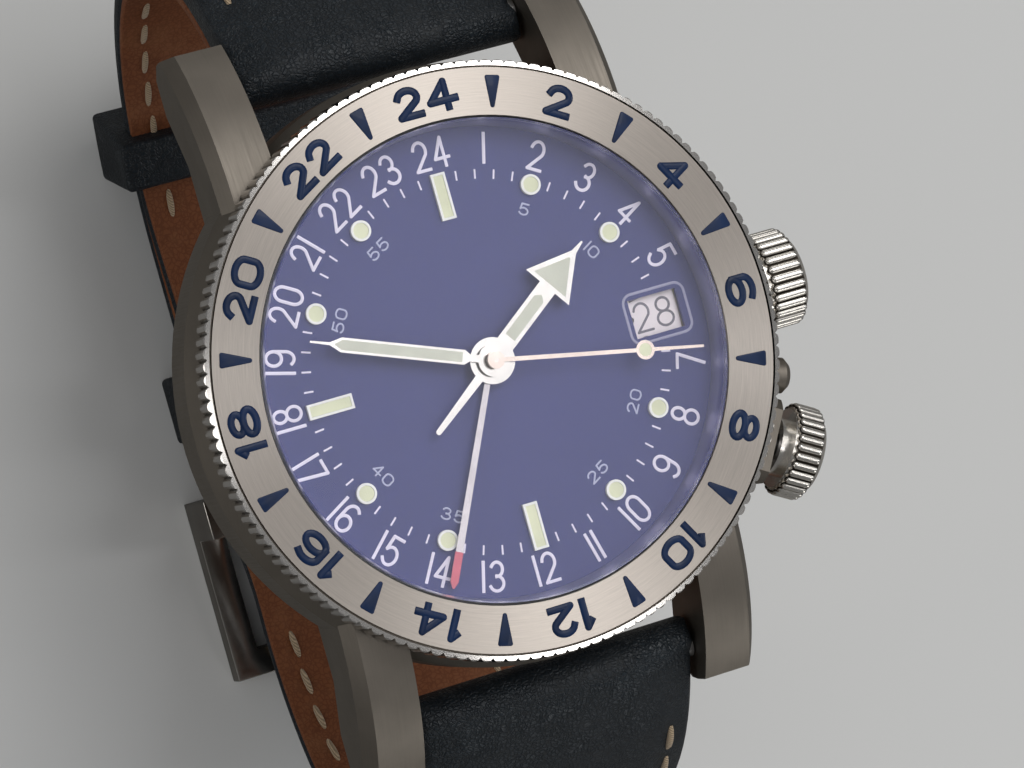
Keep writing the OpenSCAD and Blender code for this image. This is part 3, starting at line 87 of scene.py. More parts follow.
class Tree:
    """A thin wrapper that adds nodes to a tree and joins them."""

    def __init__(self, tree: bpy.types.NodeTree) -> None:
        """Keeps the tree."""
        self.tree = tree

    def node(self, kind: str, links: dict | None = None, **values: object) -> Node:
        """Adds a node.

        Args:
            kind: the node's type name.
            links: input name or number to the socket, or plain value, that feeds it.
            **values: properties of the node itself.

        Returns:
            The new node.
        """
        made = self.tree.nodes.new(kind)
        for key, value in values.items():
            setattr(made, key, value)
        for key, source in (links or {}).items():
            if isinstance(source, Socket):
                self.tree.links.new(source, made.inputs[key])
            else:
                made.inputs[key].default_value = source
        return made

    def math(self, operation: str, a: object, b: object = 0.0, clamp: bool = False) -> Socket:
        """Adds a math node and returns its result."""
        return self.node("ShaderNodeMath", {0: a, 1: b}, operation=operation, use_clamp=clamp).outputs[0]

    def times(self, a: object, b: object) -> Socket:
        """Multiplies two values and returns the result."""
        return self.math("MULTIPLY", a, b)

    def radius(self, x: object, y: object) -> Socket:
        """Returns the length of (x, y)."""
        return self.math("SQRT", self.math("ADD", self.times(x, x), self.times(y, y)))

    def vector(self, operation: str, links: dict, result: int = 0) -> Socket:
        """Adds a vector math node and returns its vector, or its value as result 1."""
        return self.node("ShaderNodeVectorMath", links, operation=operation).outputs[result]

    def noise(self, place: Socket, scale: float, detail: float, rough: float = 0.5) -> Node:
        """Adds a noise texture at a place."""
        links = {"Vector": place, "Scale": scale, "Detail": detail, "Roughness": rough}
        return self.node("ShaderNodeTexNoise", links)

    def by_ray(self, ray: str, this: Node, other: Node) -> Node:
        """Mixes two shaders, the first for one kind of ray and the other for the rest."""
        share = self.node("ShaderNodeLightPath").outputs[ray]
        return self.node("ShaderNodeMixShader", {0: share, 1: other.outputs[0], 2: this.outputs[0]})

    def close(self, sink: Node, **results: Socket) -> bpy.types.NodeTree:
        """Links a group's results to its output node.

        Args:
            sink: the output node.
            **results: the socket for each result's name.

        Returns:
            The group.
        """
        for key, socket in results.items():
            self.tree.links.new(socket, sink.inputs[key])
        return self.tree

    def mix(self, factor: object, a: object, b: object) -> Socket:
        """Mixes two colours and returns the result."""
        made = self.node("ShaderNodeMix", {0: factor, 6: a, 7: b}, data_type="RGBA")
        return made.outputs[2]

    def spread(self, value: object, low: float, high: float, out_low: float = 0.0,
               out_high: float = 1.0) -> Socket:
        """Maps a value from one range to another, held at both ends."""
        links = {0: value, 1: low, 2: high, 3: out_low, 4: out_high}
        return self.node("ShaderNodeMapRange", links).outputs[0]


def new_group(name: str, values: dict[str, float],
              results: tuple[str, ...]) -> tuple[Tree, Node, Node]:
    """Makes an empty shader node group that takes a place in millimetres and some values.

    Args:
        name: the group's name.
        values: the name of each value it takes to its start value.
        results: names of the values it gives.

    Returns:
        The group's tree, its input node and its output node.
    """
    group = bpy.data.node_groups.new(name, "ShaderNodeTree")
    group.interface.new_socket(name="Place", in_out="INPUT", socket_type="NodeSocketVector")
    for key, value in values.items():
        socket = group.interface.new_socket(name=key, in_out="INPUT", socket_type="NodeSocketFloat")
        socket.default_value = value
    for key in results:
        group.interface.new_socket(name=key, in_out="OUTPUT", socket_type="NodeSocketFloat")
    tree = Tree(group)
    return tree, tree.node("NodeGroupInput"), tree.node("NodeGroupOutput")


@cache
def brush_group(way: Brushing) -> bpy.types.NodeTree:
    """Builds, once, the group that draws brush lines for one way of brushing.

    Args:
        way: which way the lines run.

    Returns:
        A group from a place in millimetres to a line value and a slow cloud value.
    """
    tree, source, sink = new_group("brush_" + way.name.lower(), {"Fineness": 9.0}, ("Lines", "Cloud"))
    x, y, z = tree.node("ShaderNodeSeparateXYZ", {0: source.outputs["Place"]}).outputs
    fine = source.outputs["Fineness"]
    if way in (Brushing.TURNED, Brushing.SUNRAY):
        radius = tree.radius(x, y)
        safe = tree.math("MAXIMUM", radius, 0.01)
        across, along = tree.math("DIVIDE", x, safe), tree.math("DIVIDE", y, safe)
        out, turned = (fine, 7.0) if way is Brushing.TURNED else (0.15, tree.times(fine, 8.0))
        parts = (tree.times(radius, out), tree.times(across, turned), tree.times(along, turned))
    elif way is Brushing.ALONG_Y:
        parts = (tree.times(x, fine), tree.times(y, 0.16), tree.times(z, 0.16))
    else:
        parts = (x, y, z)
    place = tree.node("ShaderNodeCombineXYZ", dict(enumerate(parts))).outputs[0]
    lines = tree.noise(place, 1.0, 4.0, 0.7)
    cloud = tree.noise(source.outputs["Place"], 0.35, 3.0)
    return tree.close(sink, Lines=lines.outputs[0], Cloud=cloud.outputs[0])


@cache
def wear_group() -> bpy.types.NodeTree:
    """Builds, once, the group for fine dust and hairline marks.

    Returns:
        A group from a place in millimetres to how strongly it is marked.
    """
    tree, source, sink = new_group("handling_marks", {"Amount": 0.5}, ("Marks",))
    skew = tree.node("ShaderNodeMapping", {0: source.outputs["Place"], 2: MARK_TURN, 3: MARK_STRETCH})
    hair = tree.noise(skew.outputs[0], 1.6, 6.0, 0.8)
    peaks = tree.spread(hair.outputs[0], 0.6, 0.72)
    marks = tree.math("MULTIPLY", peaks, source.outputs["Amount"], True)
    return tree.close(sink, Marks=marks)


@cache
def hide_group() -> bpy.types.NodeTree:
    """Builds, once, the group for the pebbled grain and creases of leather.

    Returns:
        A group from a place in millimetres to the grain's height, its valleys and a slow tone.
    """
    tree, source, sink = new_group("leather_hide", {"Pebble": 1.6}, ("Height", "Valleys", "Tone"))
    place = source.outputs["Place"]
    moved = tree.vector("ADD", {0: place, 1: tree.noise(place, 0.9, 3.0).outputs[1]})
    scaled = tree.vector("SCALE", {0: moved, 3: source.outputs["Pebble"]})
    cells = tree.node("ShaderNodeTexVoronoi", {"Vector": scaled, "Scale": 1.0}, feature="DISTANCE_TO_EDGE")
    edge = tree.spread(cells.outputs[0], 0.0, 0.22)
    fine = tree.noise(scaled, 4.0, 4.0)
    crease = tree.noise(place, 0.28, 5.0, 0.65)
    deep = tree.spread(crease.outputs[0], 0.42, 0.6, 0.35, 1.0)
    height = tree.math("ADD", tree.times(edge, deep), tree.times(fine.outputs[0], 0.45))
    return tree.close(sink, Height=height, Valleys=tree.math("SUBTRACT", 1.0, edge), Tone=crease.outputs[0])


# Finishes

QUARTER_TURN = 0.25
ARBOR_STEEL = (0.72, 0.66, 0.63)


class Surface:
    """A new material with its Principled shader and a place in millimetres."""

    def __init__(self, name: str) -> None:
        """Makes the material and its first nodes.

        Args:
            name: the material's name.
        """
        self.material = bpy.data.materials.new(name)
        self.material.use_nodes = True
        self.tree = Tree(self.material.node_tree)
        self.shader = next(n for n in self.tree.tree.nodes if n.type == "BSDF_PRINCIPLED")
        self.output = next(n for n in self.tree.tree.nodes if n.type == "OUTPUT_MATERIAL")
        coordinates = self.tree.node("ShaderNodeTexCoord")
        self.place = self.tree.vector("MULTIPLY", {0: coordinates.outputs["Object"], 1: (1 / MM,) * 3})

    def radius(self) -> Socket:
        """Returns the distance from the dial's axis, in millimetres."""
        x, y, _ = self.tree.node("ShaderNodeSeparateXYZ", {0: self.place}).outputs
        return self.tree.radius(x, y)

    def plain(self, **values: object) -> None:
        """Sets unlinked sockets of the shader; underscores stand for spaces."""
        for key, value in values.items():
            self.shader.inputs[key.replace("_", " ")].default_value = value

    def feed(self, key: str, socket: Socket) -> None:
        """Links a socket to one of the shader's inputs."""
        self.tree.tree.links.new(socket, self.shader.inputs[key])

    def group(self, group: bpy.types.NodeTree, **values: float) -> Node:
        """Places a shared group on this surface, fed with the place in millimetres.

        Args:
            group: the group.
            **values: this surface's own values for its inputs.

        Returns:
            The group's node.
        """
        made = self.tree.node("ShaderNodeGroup")
        made.node_tree = group
        self.tree.tree.links.new(self.place, made.inputs["Place"])
        for key, value in values.items():
            made.inputs[key].default_value = value
        return made

    def round_the_axis(self) -> None:
        """Lays the highlights' tangent round the dial's axis."""
        tangent = self.tree.node("ShaderNodeTangent", direction_type="RADIAL", axis="Z")
        self.feed("Tangent", tangent.outputs[0])

    def bump(self, height: Socket, depth_mm: float, strength: float = 1.0) -> None:
        """Bumps the surface by a height whose full step is depth_mm."""
        links = {"Height": height, "Distance": depth_mm * MM, "Strength": strength}
        self.feed("Normal", self.tree.node("ShaderNodeBump", links).outputs[0])


@dataclass(frozen=True)
class Finish:
    """A finish and its material's name."""

    name: str

    def material(self) -> Material:
        """Builds the material.

        Returns:
            The material, painted.
        """
        surface = Surface(self.name)
        self.paint(surface, surface.tree)
        return surface.material

    def paint(self, surface: Surface, tree: Tree) -> None:
        """Feeds the surface's shader; each kind of finish has its own way."""
        raise NotImplementedError


@dataclass(frozen=True)
class MetalFinish(Finish):
    """Bare or plated metal, brushed or polished.

    Attributes:
        color: its linear base colour.
        roughness: mean roughness.
        brushing: which way it is brushed.
        fineness: brush lines for each millimetre.
        depth: depth of the brush lines in millimetres.
        contrast: how far the brush lines change the roughness.
        anisotropy: how far a highlight spreads across the lines.
        wear: how strong the handling marks are.
        arbor_r: radius in millimetres of a bare steel arbor on the dial's axis.
    """

    color: Color
    roughness: float = 0.25
    brushing: Brushing = Brushing.NONE
    fineness: float = 9.0
    depth: float = 0.002
    contrast: float = 0.12
    anisotropy: float = 0.0
    wear: float = 0.35
    arbor_r: float = 0.0

    def paint(self, surface: Surface, tree: Tree) -> None:
        """Feeds the shader.

        Args:
            surface: the new surface.
            tree: its nodes.
        """
        surface.plain(Metallic=1.0, Anisotropic=self.anisotropy, Anisotropic_Rotation=QUARTER_TURN)
        brush = surface.group(brush_group(self.brushing), Fineness=self.fineness)
        marks = surface.group(wear_group(), Amount=self.wear)
        tone = tree.spread(brush.outputs["Cloud"], 0.35, 0.65, 0.0, 0.5)
        base = tree.mix(tone, rgba(self.color), rgba(self.color, 0.8))
        if self.arbor_r:
            base = tree.mix(tree.math("LESS_THAN", surface.radius(), self.arbor_r), base, rgba(ARBOR_STEEL))
        surface.feed("Base Color", base)
        lined = tree.spread(brush.outputs["Lines"], 0.3, 0.7, self.roughness - self.contrast,
                            self.roughness + self.contrast)
        surface.feed("Roughness", tree.math("ADD", lined, tree.times(marks.outputs["Marks"], 0.1)))
        if self.brushing is not Brushing.NONE:
            surface.bump(brush.outputs["Lines"], self.depth)
        if self.brushing is Brushing.TURNED and self.anisotropy:
            surface.round_the_axis()


@dataclass(frozen=True)
class BezelFinish(Finish):
    """Turned steel with a polished rim, and painted shade in its turned line and between the rim's lobes.

    Attributes:
        color: the turned face's linear colour.
        rim_color: the polished rim's.
        dirt: colour of the shade painted down in the line and between the lobes.
        line: inner and outer radius of the line, in millimetres.
        lobes: radius at the bottom and near the top of the lobes.
        top: height in millimetres of the turned face.
        fine_lines: fine brush lines for each millimetre.
        broad_lines: broad ones.
        brushed: least and greatest roughness of the turned face.
        polished: roughness of the rim.
        spread_out: how far highlights spread across the lines.
        depth: depth of the lines in millimetres.
    """

    color: Color
    rim_color: Color
    dirt: Color
    line: tuple[float, float]
    lobes: tuple[float, float]
    top: float
    fine_lines: float = 26.0
    broad_lines: float = 7.0
    brushed: tuple[float, float] = (0.33, 0.45)
    polished: float = 0.14
    spread_out: float = 0.85
    depth: float = 0.002

    def paint(self, surface: Surface, tree: Tree) -> None:
        """Feeds the shader.

        Args:
            surface: the new surface.
            tree: its nodes.
        """
        surface.plain(Metallic=1.0, Anisotropic_Rotation=QUARTER_TURN)
        lines = [surface.group(brush_group(Brushing.TURNED), Fineness=fineness).outputs["Lines"]
                 for fineness in (self.fine_lines, self.broad_lines)]
        radius = surface.radius()
        height = tree.node("ShaderNodeSeparateXYZ", {0: surface.place}).outputs[2]
        inner, outer = self.line
        turned = tree.spread(radius, inner - 0.01, inner + 0.01, 1.0, 0.0)
        streaks = tree.math("ADD", tree.times(lines[0], 0.6), tree.times(lines[1], 0.4))
        pale = tree.mix(tree.spread(streaks, 0.38, 0.62), rgba(self.color, 0.85), rgba(self.color, 1.08))
        faces = tree.mix(turned, rgba(self.rim_color), pale)
        # Painted shade: the turned line and the low ground between the rim's lobes are darkened in the base
        # colour, for the shade they sit in.
        in_line = tree.times(tree.math("GREATER_THAN", radius, inner), tree.math("LESS_THAN", radius, outer))
        low = tree.spread(height, self.top - 0.35, self.top - 0.25, 1.0, 0.0)
        between = tree.times(tree.spread(radius, *self.lobes, 1.0, 0.0), low)
        painted_shade_share = tree.math("MAXIMUM", in_line, tree.times(between, 0.85))
        surface.feed("Base Color", tree.mix(painted_shade_share, faces, rgba(self.dirt)))
        brushed = tree.spread(streaks, 0.35, 0.65, *self.brushed)
        surface.feed("Roughness", tree.mix(turned, rgba((self.polished,) * 3), brushed))
        surface.feed("Anisotropic", tree.times(turned, self.spread_out))
        surface.round_the_axis()
        surface.bump(tree.times(streaks, turned), self.depth)


@dataclass(frozen=True)
class CrownFinish(Finish):
    """Polished steel with shadowed gaps between a crown's ribs.

    Attributes:
        color: the ribs' linear colour.
        gap: the colour down between them.
        axis: the direction of the crown's axis, which crosses the dial's.
        height: height of the axis in millimetres.
        core_r: radius in millimetres from which the ribs rise.
        rib_r: the radius of a rib.
        roughness: of a rib and of a gap.
    """

    color: Color
    gap: Color
    axis: Triple
    height: float
    core_r: float
    rib_r: float
    roughness: tuple[float, float] = (0.24, 0.5)

    def paint(self, surface: Surface, tree: Tree) -> None:
        """Feeds the shader.

        Args:
            surface: the new surface.
            tree: its nodes.
        """
        surface.plain(Metallic=1.0)
        out = tree.vector("SUBTRACT", {0: surface.place, 1: (0.0, 0.0, self.height)})
        along = tree.vector("DOT_PRODUCT", {0: out, 1: self.axis}, 1)
        away = tree.vector("DISTANCE", {0: out, 1: tree.vector("SCALE", {0: self.axis, 3: along})}, 1)
        core, rib = self.core_r, self.rib_r
        gap = tree.times(tree.spread(away, core - 0.06, core - 0.02),
                         tree.spread(away, core + 0.3 * rib, core + 0.75 * rib, 1.0, 0.0))
        surface.feed("Base Color", tree.mix(gap, rgba(self.color), rgba(self.gap)))
        surface.feed("Roughness", tree.spread(gap, 0.0, 1.0, *self.roughness))


@dataclass(frozen=True)
class PaintFinish(Finish):
    """Printed ink, enamel or lacquer.

    Attributes:
        color: its linear base colour.
        roughness: mean roughness.
        coat: weight of the clear coat.
        grain: depth of the grain in millimetres.
        speckle: half of how far the darkest spots are darker, as a share.
        gloss: the shader's specular level.
    """

    color: Color
    roughness: float = 0.4
    coat: float = 0.0
    grain: float = 0.0015
    speckle: float = 0.12
    gloss: float = 0.5

    def paint(self, surface: Surface, tree: Tree) -> None:
        """Feeds the shader.

        Args:
            surface: the new surface.
            tree: its nodes.
        """
        surface.plain(Coat_Weight=self.coat, Coat_Roughness=0.04, Specular_IOR_Level=self.gloss)
        noise = tree.noise(surface.place, 9.0, 4.0)
        slow = tree.spread(tree.noise(surface.place, 0.5, 2.0).outputs[0], 0.3, 0.7)
        darkest = rgba(self.color, 1.0 - 2.0 * self.speckle)
        surface.feed("Base Color", tree.mix(slow, rgba(self.color), darkest))
        ends = (self.roughness * 0.8, self.roughness * 1.2)
        surface.feed("Roughness", tree.spread(noise.outputs[0], 0.3, 0.7, *ends))
        surface.bump(noise.outputs[0], self.grain)


@dataclass(frozen=True)
class DialFinish(Finish):
    """Blue sunray lacquer that deepens towards the rim.

    Attributes:
        centre: its colour at the dial's centre.
        rim: its colour at the rim.
        rim_at: radius in millimetres at which the rim's colour is reached.
    """

    centre: Color
    rim: Color
    rim_at: float = 17.0

    def paint(self, surface: Surface, tree: Tree) -> None:
        """Feeds the shader.

        Args:
            surface: the new surface.
            tree: its nodes.
        """
        surface.plain(Coat_Weight=0.1, Coat_Roughness=0.3, Specular_IOR_Level=0.15)
        brush = surface.group(brush_group(Brushing.SUNRAY), Fineness=4.0)
        outward = tree.spread(surface.radius(), 6.0, self.rim_at)
        base = tree.mix(outward, rgba(self.centre), rgba(self.rim))
        rays = tree.spread(brush.outputs["Lines"], 0.3, 0.7, 0.0, 0.22)
        surface.feed("Base Color", tree.mix(rays, base, rgba(self.centre, 1.25)))
        surface.feed("Roughness", tree.spread(brush.outputs["Lines"], 0.3, 0.7, 0.38, 0.52))
        surface.bump(brush.outputs["Lines"], 0.001)


@dataclass(frozen=True)
class LeatherFinish(Finish):
    """Oiled or smooth leather.

    Attributes:
        color: colour of the raised grain.
        valley: colour in the grain's valleys.
        rub: colour where handling has paled it.
        roughness: mean roughness.
        pebble: grain cells for each millimetre.
        depth: depth of the grain in millimetres.
    """

    color: Color
    valley: Color
    rub: Color
    roughness: float = 0.42
    pebble: float = 1.6
    depth: float = 0.07

    def paint(self, surface: Surface, tree: Tree) -> None:
        """Feeds the shader.

        Args:
            surface: the new surface.
            tree: its nodes.
        """
        surface.plain(Specular_IOR_Level=0.4, Sheen_Weight=0.02)
        hide = surface.group(hide_group(), Pebble=self.pebble)
        marks = surface.group(wear_group(), Amount=0.5)
        valleys = tree.spread(hide.outputs["Valleys"], 0.2, 1.0, 0.0, 0.85)
        body = tree.mix(valleys, rgba(self.color), rgba(self.valley))
        rubbed = tree.mix(tree.spread(hide.outputs["Tone"], 0.5, 0.72, 0.0, 0.5), body, rgba(self.rub))
        surface.feed("Base Color", tree.mix(tree.times(marks.outputs["Marks"], 0.3), rubbed, rgba(self.rub)))
        surface.feed("Roughness", tree.spread(hide.outputs["Height"], 0.2, 1.3, self.roughness + 0.14,
                                              self.roughness - 0.1))
        surface.bump(hide.outputs["Height"], self.depth, 0.8)


@dataclass(frozen=True)
class ThreadFinish(Finish):
    """Waxed linen thread with its twist."""

    color: Color

    def paint(self, surface: Surface, tree: Tree) -> None:
        """Feeds the shader.

        Args:
            surface: the new surface.
            tree: its nodes.
        """
        surface.plain(Sheen_Weight=0.3)
        wave = tree.node("ShaderNodeTexWave", {"Vector": surface.place, "Scale": 2.2, "Distortion": 1.5},
                         bands_direction="DIAGONAL")
        surface.feed("Base Color", tree.mix(wave.outputs[1], rgba(self.color, 0.45), rgba(self.color)))
        surface.feed("Roughness", tree.spread(wave.outputs[1], 0.0, 1.0, 0.8, 0.55))
        surface.bump(wave.outputs[1], 0.05)


@dataclass(frozen=True)
class CrystalFinish(Finish):
    """Clear sapphire with a ground edge, which lets the lamps' light through.

    Attributes:
        tint: its colour.
        polished_r: radius in millimetres within which it is polished.
    """

    tint: Color
    polished_r: float

    def paint(self, surface: Surface, tree: Tree) -> None:
        """Feeds the shader; shadow rays pass, as light does through a real flat crystal.

        Args:
            surface: the new surface.
            tree: its nodes.
        """
        surface.plain(Base_Color=rgba(self.tint), Transmission_Weight=1.0, IOR=1.5)
        edge = (self.polished_r, self.polished_r + 0.02)
        surface.feed("Roughness", tree.spread(surface.radius(), *edge, 0.0, 0.35))
        clear = tree.node("ShaderNodeBsdfTransparent", {0: rgba((0.97, 0.98, 1.0))})
        mixed = tree.by_ray("Is Shadow Ray", clear, surface.shader)
        tree.tree.links.new(mixed.outputs[0], surface.output.inputs["Surface"])


class Paints:
    """Every finish of the watch, by name, each built once."""

    # Painted shade: this steel is darker than plain steel, standing in for the shade the case's lugs and
    # flanks sit in; the case back shares it.
    steel = (0.25, 0.225, 0.195)
    # Painted highlight: the crown ribs, and the bezel's polished rim below, are brighter than plain steel so
    # that their glints read white.
    rib_steel = (0.9, 0.87, 0.82)
    rib_gap = (0.05, 0.042, 0.034)
    crown_height = DIAL_Z / MM - 2.9
    finishes = (
        BezelFinish("steel_bezel_top", (0.52, 0.475, 0.435), (0.92, 0.89, 0.86), (0.07, 0.06, 0.05),
                    (20.42, 20.58), (20.76, 20.93), DIAL_Z / MM + 2.77),
        MetalFinish("steel_case", steel, 0.5, Brushing.ALONG_Y, 18.0, 0.0012, 0.07),
        MetalFinish("steel_polished", (0.6, 0.57, 0.53), 0.2, contrast=0.04),
        CrownFinish("steel_crown", rib_steel, rib_gap, (1.0, 0.0, 0.0), crown_height, 3.3, 0.3),
        CrownFinish("steel_lock_crown", rib_steel, rib_gap, (0.866, -0.5, 0.0), crown_height, 3.16, 0.29),
        MetalFinish("steel_back", steel, 0.3, Brushing.TURNED, 16.0, 0.0012, 0.08, 0.5),
        MetalFinish("steel_inner", (0.56, 0.56, 0.57), 0.35, contrast=0.08),
        # Painted reflection: the rehaut's steel is tinted blue for the blue dial it mirrors.
        MetalFinish("flange_satin", (0.55, 0.55, 0.72), 0.42, Brushing.TURNED, 6.0, 0.0005, 0.04),
        MetalFinish("hand_silver", (0.97, 0.94, 0.93), 0.16, contrast=0.03, wear=0.0),
        # Painted shade and painted reflection: the second-zone hand's silver is darker and tinted lilac, for
        # the shade it sits in and the dial's blue it mirrors.
        MetalFinish("hand_dull", (0.66, 0.62, 0.67), 0.2, contrast=0.03, wear=0.0),
        MetalFinish("rose_gold", (0.9, 0.77, 0.72), 0.2, contrast=0.04, wear=0.0),
        MetalFinish("plate_nickel", (0.62, 0.58, 0.5), 0.36, Brushing.TURNED, 5.0, 0.003, 0.1),
        MetalFinish("wheel_gilt", (0.78, 0.6, 0.28), 0.3, Brushing.TURNED, 8.0, 0.001, 0.08),
        MetalFinish("wheel_centre", (0.78, 0.6, 0.28), 0.3, Brushing.TURNED, 8.0, 0.001, 0.08, arbor_r=0.6),
        MetalFinish("spring_blued", (0.07, 0.11, 0.32), 0.22, contrast=0.05),
        MetalFinish("shoe_bronze", (0.5, 0.34, 0.16), 0.4, contrast=0.08),
        PaintFinish("enamel_navy", (0.0015, 0.022, 0.09), 0.4, 0.1, 0.003, 0.2, 0.25),
        PaintFinish("print_white", (0.78, 0.74, 0.88), 0.5, 0.0, 0.002, 0.03),
        PaintFinish("print_soft", (0.43, 0.45, 0.63), 0.5, 0.0, 0.002, 0.03),
        PaintFinish("print_lilac", (0.3, 0.3, 0.45), 0.5, 0.0, 0.002, 0.04),
        PaintFinish("marker_white", (0.85, 0.85, 0.83), 0.35, 0.2, 0.001, 0.03),
        PaintFinish("tip_red", (0.65, 0.11, 0.18), 0.35, 0.3, 0.001, 0.08),
        PaintFinish("date_ink", (0.16, 0.15, 0.2), 0.5, 0.0, 0.001, 0.1),
        PaintFinish("date_ground", (0.84, 0.77, 0.81), 0.6, 0.0, 0.001, 0.03),
        PaintFinish("lume_ivory", (0.76, 0.78, 0.56), 0.85, 0.0, 0.02, 0.06),
        PaintFinish("lume_grey", (0.64, 0.65, 0.56), 0.85, 0.0, 0.02, 0.06),
        PaintFinish("ruby", (0.45, 0.02, 0.06), 0.1, 1.0, 0.0005, 0.1),
        PaintFinish("gasket_black", (0.02, 0.02, 0.022), 0.6, 0.0, 0.004, 0.1),
        PaintFinish("gasket_grey", (0.025, 0.025, 0.027), 0.45, 0.0, 0.002, 0.1),
        DialFinish("dial_blue", (0.042, 0.05, 0.185), (0.038, 0.046, 0.175)),
        LeatherFinish("leather_navy", (0.008, 0.0135, 0.0195), (0.003, 0.005, 0.007),
                      (0.028, 0.038, 0.047), 0.36, 3.0, 0.08),
        LeatherFinish("leather_tan", (0.2, 0.062, 0.018), (0.13, 0.036, 0.01),
                      (0.25, 0.1, 0.036), 0.6, 2.4, 0.02),
        LeatherFinish("leather_edge", (0.02, 0.022, 0.026), (0.01, 0.01, 0.012),
                      (0.06, 0.05, 0.045), 0.55, 3.0, 0.03),
        ThreadFinish("thread_cream", (0.58, 0.43, 0.27)),
        CrystalFinish("crystal_clear", (1.0, 1.0, 1.0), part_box("crystal")[1].x / MM - 0.11),
    )

    def __init__(self) -> None:
        """Builds every material."""
        self.made = {finish.name: finish.material() for finish in self.finishes}

    def __getitem__(self, name: str) -> Material:
        """Returns a material by its finish's name."""
        return self.made[name]


# Mesh helpers


def linked(name: str, data: bpy.types.ID) -> bpy.types.Object:
    """Makes an object of a data block and links it into the scene.

    Args:
        name: the object's name.
        data: its mesh, curve, lamp or camera.

    Returns:
        The object.
    """
    made = bpy.data.objects.new(name, data)
    bpy.context.scene.collection.objects.link(made)
    return made


def settle(name: str, bm: BMesh, material: Material, smooth: float = 35.0) -> bpy.types.Object:
    """Turns a bmesh into a finished object at the origin.

    Args:
        name: the piece's name.
        bm: its mesh, in metres and in place; it is freed.
        material: what it is made of.
        smooth: edges flatter than this many degrees are shaded smooth.

    Returns:
        The linked object.
    """
    bmesh.ops.recalc_face_normals(bm, faces=bm.faces)
    mesh = bpy.data.meshes.new(name)
    for face in bm.faces:
        face.smooth = True
    for edge in bm.edges:
        if len(edge.link_faces) == 2 and edge.calc_face_angle(0.0) > math.radians(smooth):
            edge.smooth = False
    bm.to_mesh(mesh)
    bm.free()
    mesh.materials.append(material)
    return linked(name, mesh)


def from_dial(x: float, y: float, z: float) -> Triple:
    """Turns a place in millimetres from the dial's centre into one in the scene."""
    return x * MM, y * MM, DIAL_Z + z * MM


def plate(bm: BMesh, outline: list[Point], low: float, high: float) -> list[bmesh.types.BMVert]:
    """Adds a flat plate, in millimetres from the dial's centre.

    Args:
        bm: the mesh that takes it.
        outline: its closed outline.
        low: height of its underside.
        high: height of its top.

    Returns:
        Its vertices.
    """
    verts = [bm.verts.new(from_dial(x, y, low)) for x, y in outline]
    face = bm.faces.new(verts)
    grown = bmesh.ops.extrude_face_region(bm, geom=[face])
    raised = [item for item in grown["geom"] if isinstance(item, bmesh.types.BMVert)]
    bmesh.ops.translate(bm, verts=raised, vec=(0.0, 0.0, (high - low) * MM))
    return verts + raised


def circle(x: float, y: float, radius: float, steps: int = 32) -> list[Point]:
    """Returns the points of a circle."""
    return [(x + radius * math.cos(math.tau * i / steps), y + radius * math.sin(math.tau * i / steps))
            for i in range(steps)]


def even(half: list[Point]) -> list[Point]:
    """Returns the outline whose one half is given and whose other half mirrors it about the X axis."""
    return half + [(x, -y) for x, y in reversed(half)]


def clocked(bm: BMesh, verts: list[bmesh.types.BMVert], clock: float) -> None:
    """Turns vertices drawn along +X to a clock angle about the dial's axis."""
    turn = Matrix.Rotation(math.radians(90.0 - clock), 3, "Z")
    bmesh.ops.rotate(bm, verts=verts, cent=(0.0, 0.0, 0.0), matrix=turn)


def rounded(bm: BMesh, edges: list[bmesh.types.BMEdge], width_mm: float, segments: int = 3) -> None:
    """Rounds edges of a mesh."""
    bmesh.ops.bevel(bm, geom=edges, offset=width_mm * MM, offset_type="OFFSET", segments=segments,
                    profile=0.5, affect="EDGES", clamp_overlap=True, material=-1)


def softened(node: str, name: str, width_mm: float, material: Material, segments: int = 3,
             angle: float = 28.0) -> bpy.types.Object:
    """Makes a piece from a copy of a CAD node with its edges rounded.

    Args:
        node: the CAD node to copy.
        name: the new piece's name.
        width_mm: width of the rounding.
        material: what it is made of.
        segments: faces across the rounding.
        angle: edges sharper than this many degrees are rounded.

    Returns:
        The piece, which does not yet replace the node.
    """
    bm = bmesh.new()
    bm.from_mesh(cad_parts[node].data)
    bmesh.ops.remove_doubles(bm, verts=bm.verts, dist=2e-7)
    bmesh.ops.dissolve_limit(bm, angle_limit=math.radians(1.0), verts=bm.verts, edges=bm.edges)
    sharp = [e for e in bm.edges if len(e.link_faces) == 2 and e.calc_face_angle(0.0) > math.radians(angle)]
    rounded(bm, sharp, width_mm, segments)
    return settle(name, bm, material)


def block(bm: BMesh, size: Triple, middle: Triple) -> None:
    """Adds a box, in millimetres from the dial's centre.

    Args:
        bm: the mesh that takes it.
        size: its sides.
        middle: where its middle lies.
    """
    verts = bmesh.ops.create_cube(bm, size=1.0)["verts"]
    bmesh.ops.scale(bm, verts=verts, vec=[side * MM for side in size])
    bmesh.ops.translate(bm, verts=verts, vec=from_dial(*middle))


def rod(bm: BMesh, radius: float, length: float, segments: int, middle: Triple,
        across: bool = False) -> None:
    """Adds a rod, in millimetres from the dial's centre.

    Args:
        bm: the mesh that takes it.
        radius: its radius.
        length: its length.
        segments: faces round it.
        middle: where its middle lies.
        across: whether it lies across the strap instead of upright.
    """
    verts = bmesh.ops.create_cone(bm, cap_ends=True, segments=segments, radius1=radius * MM,
                                  radius2=radius * MM, depth=length * MM)["verts"]
    if across:
        bmesh.ops.rotate(bm, verts=verts, cent=(0, 0, 0), matrix=Matrix.Rotation(math.radians(90), 3, "Y"))
    bmesh.ops.translate(bm, verts=verts, vec=from_dial(*middle))


def bead_curve(name: str, radius_mm: float) -> bpy.types.Curve:
    """Makes an empty curve whose lines become round beads.

    Args:
        name: the curve's name.
        radius_mm: the beads' radius.

    Returns:
        The curve.
    """
    data = bpy.data.curves.new(name, "CURVE")
    data.dimensions = "3D"
    data.bevel_depth = radius_mm * MM
    data.bevel_resolution = 2
    data.use_fill_caps = True
    return data


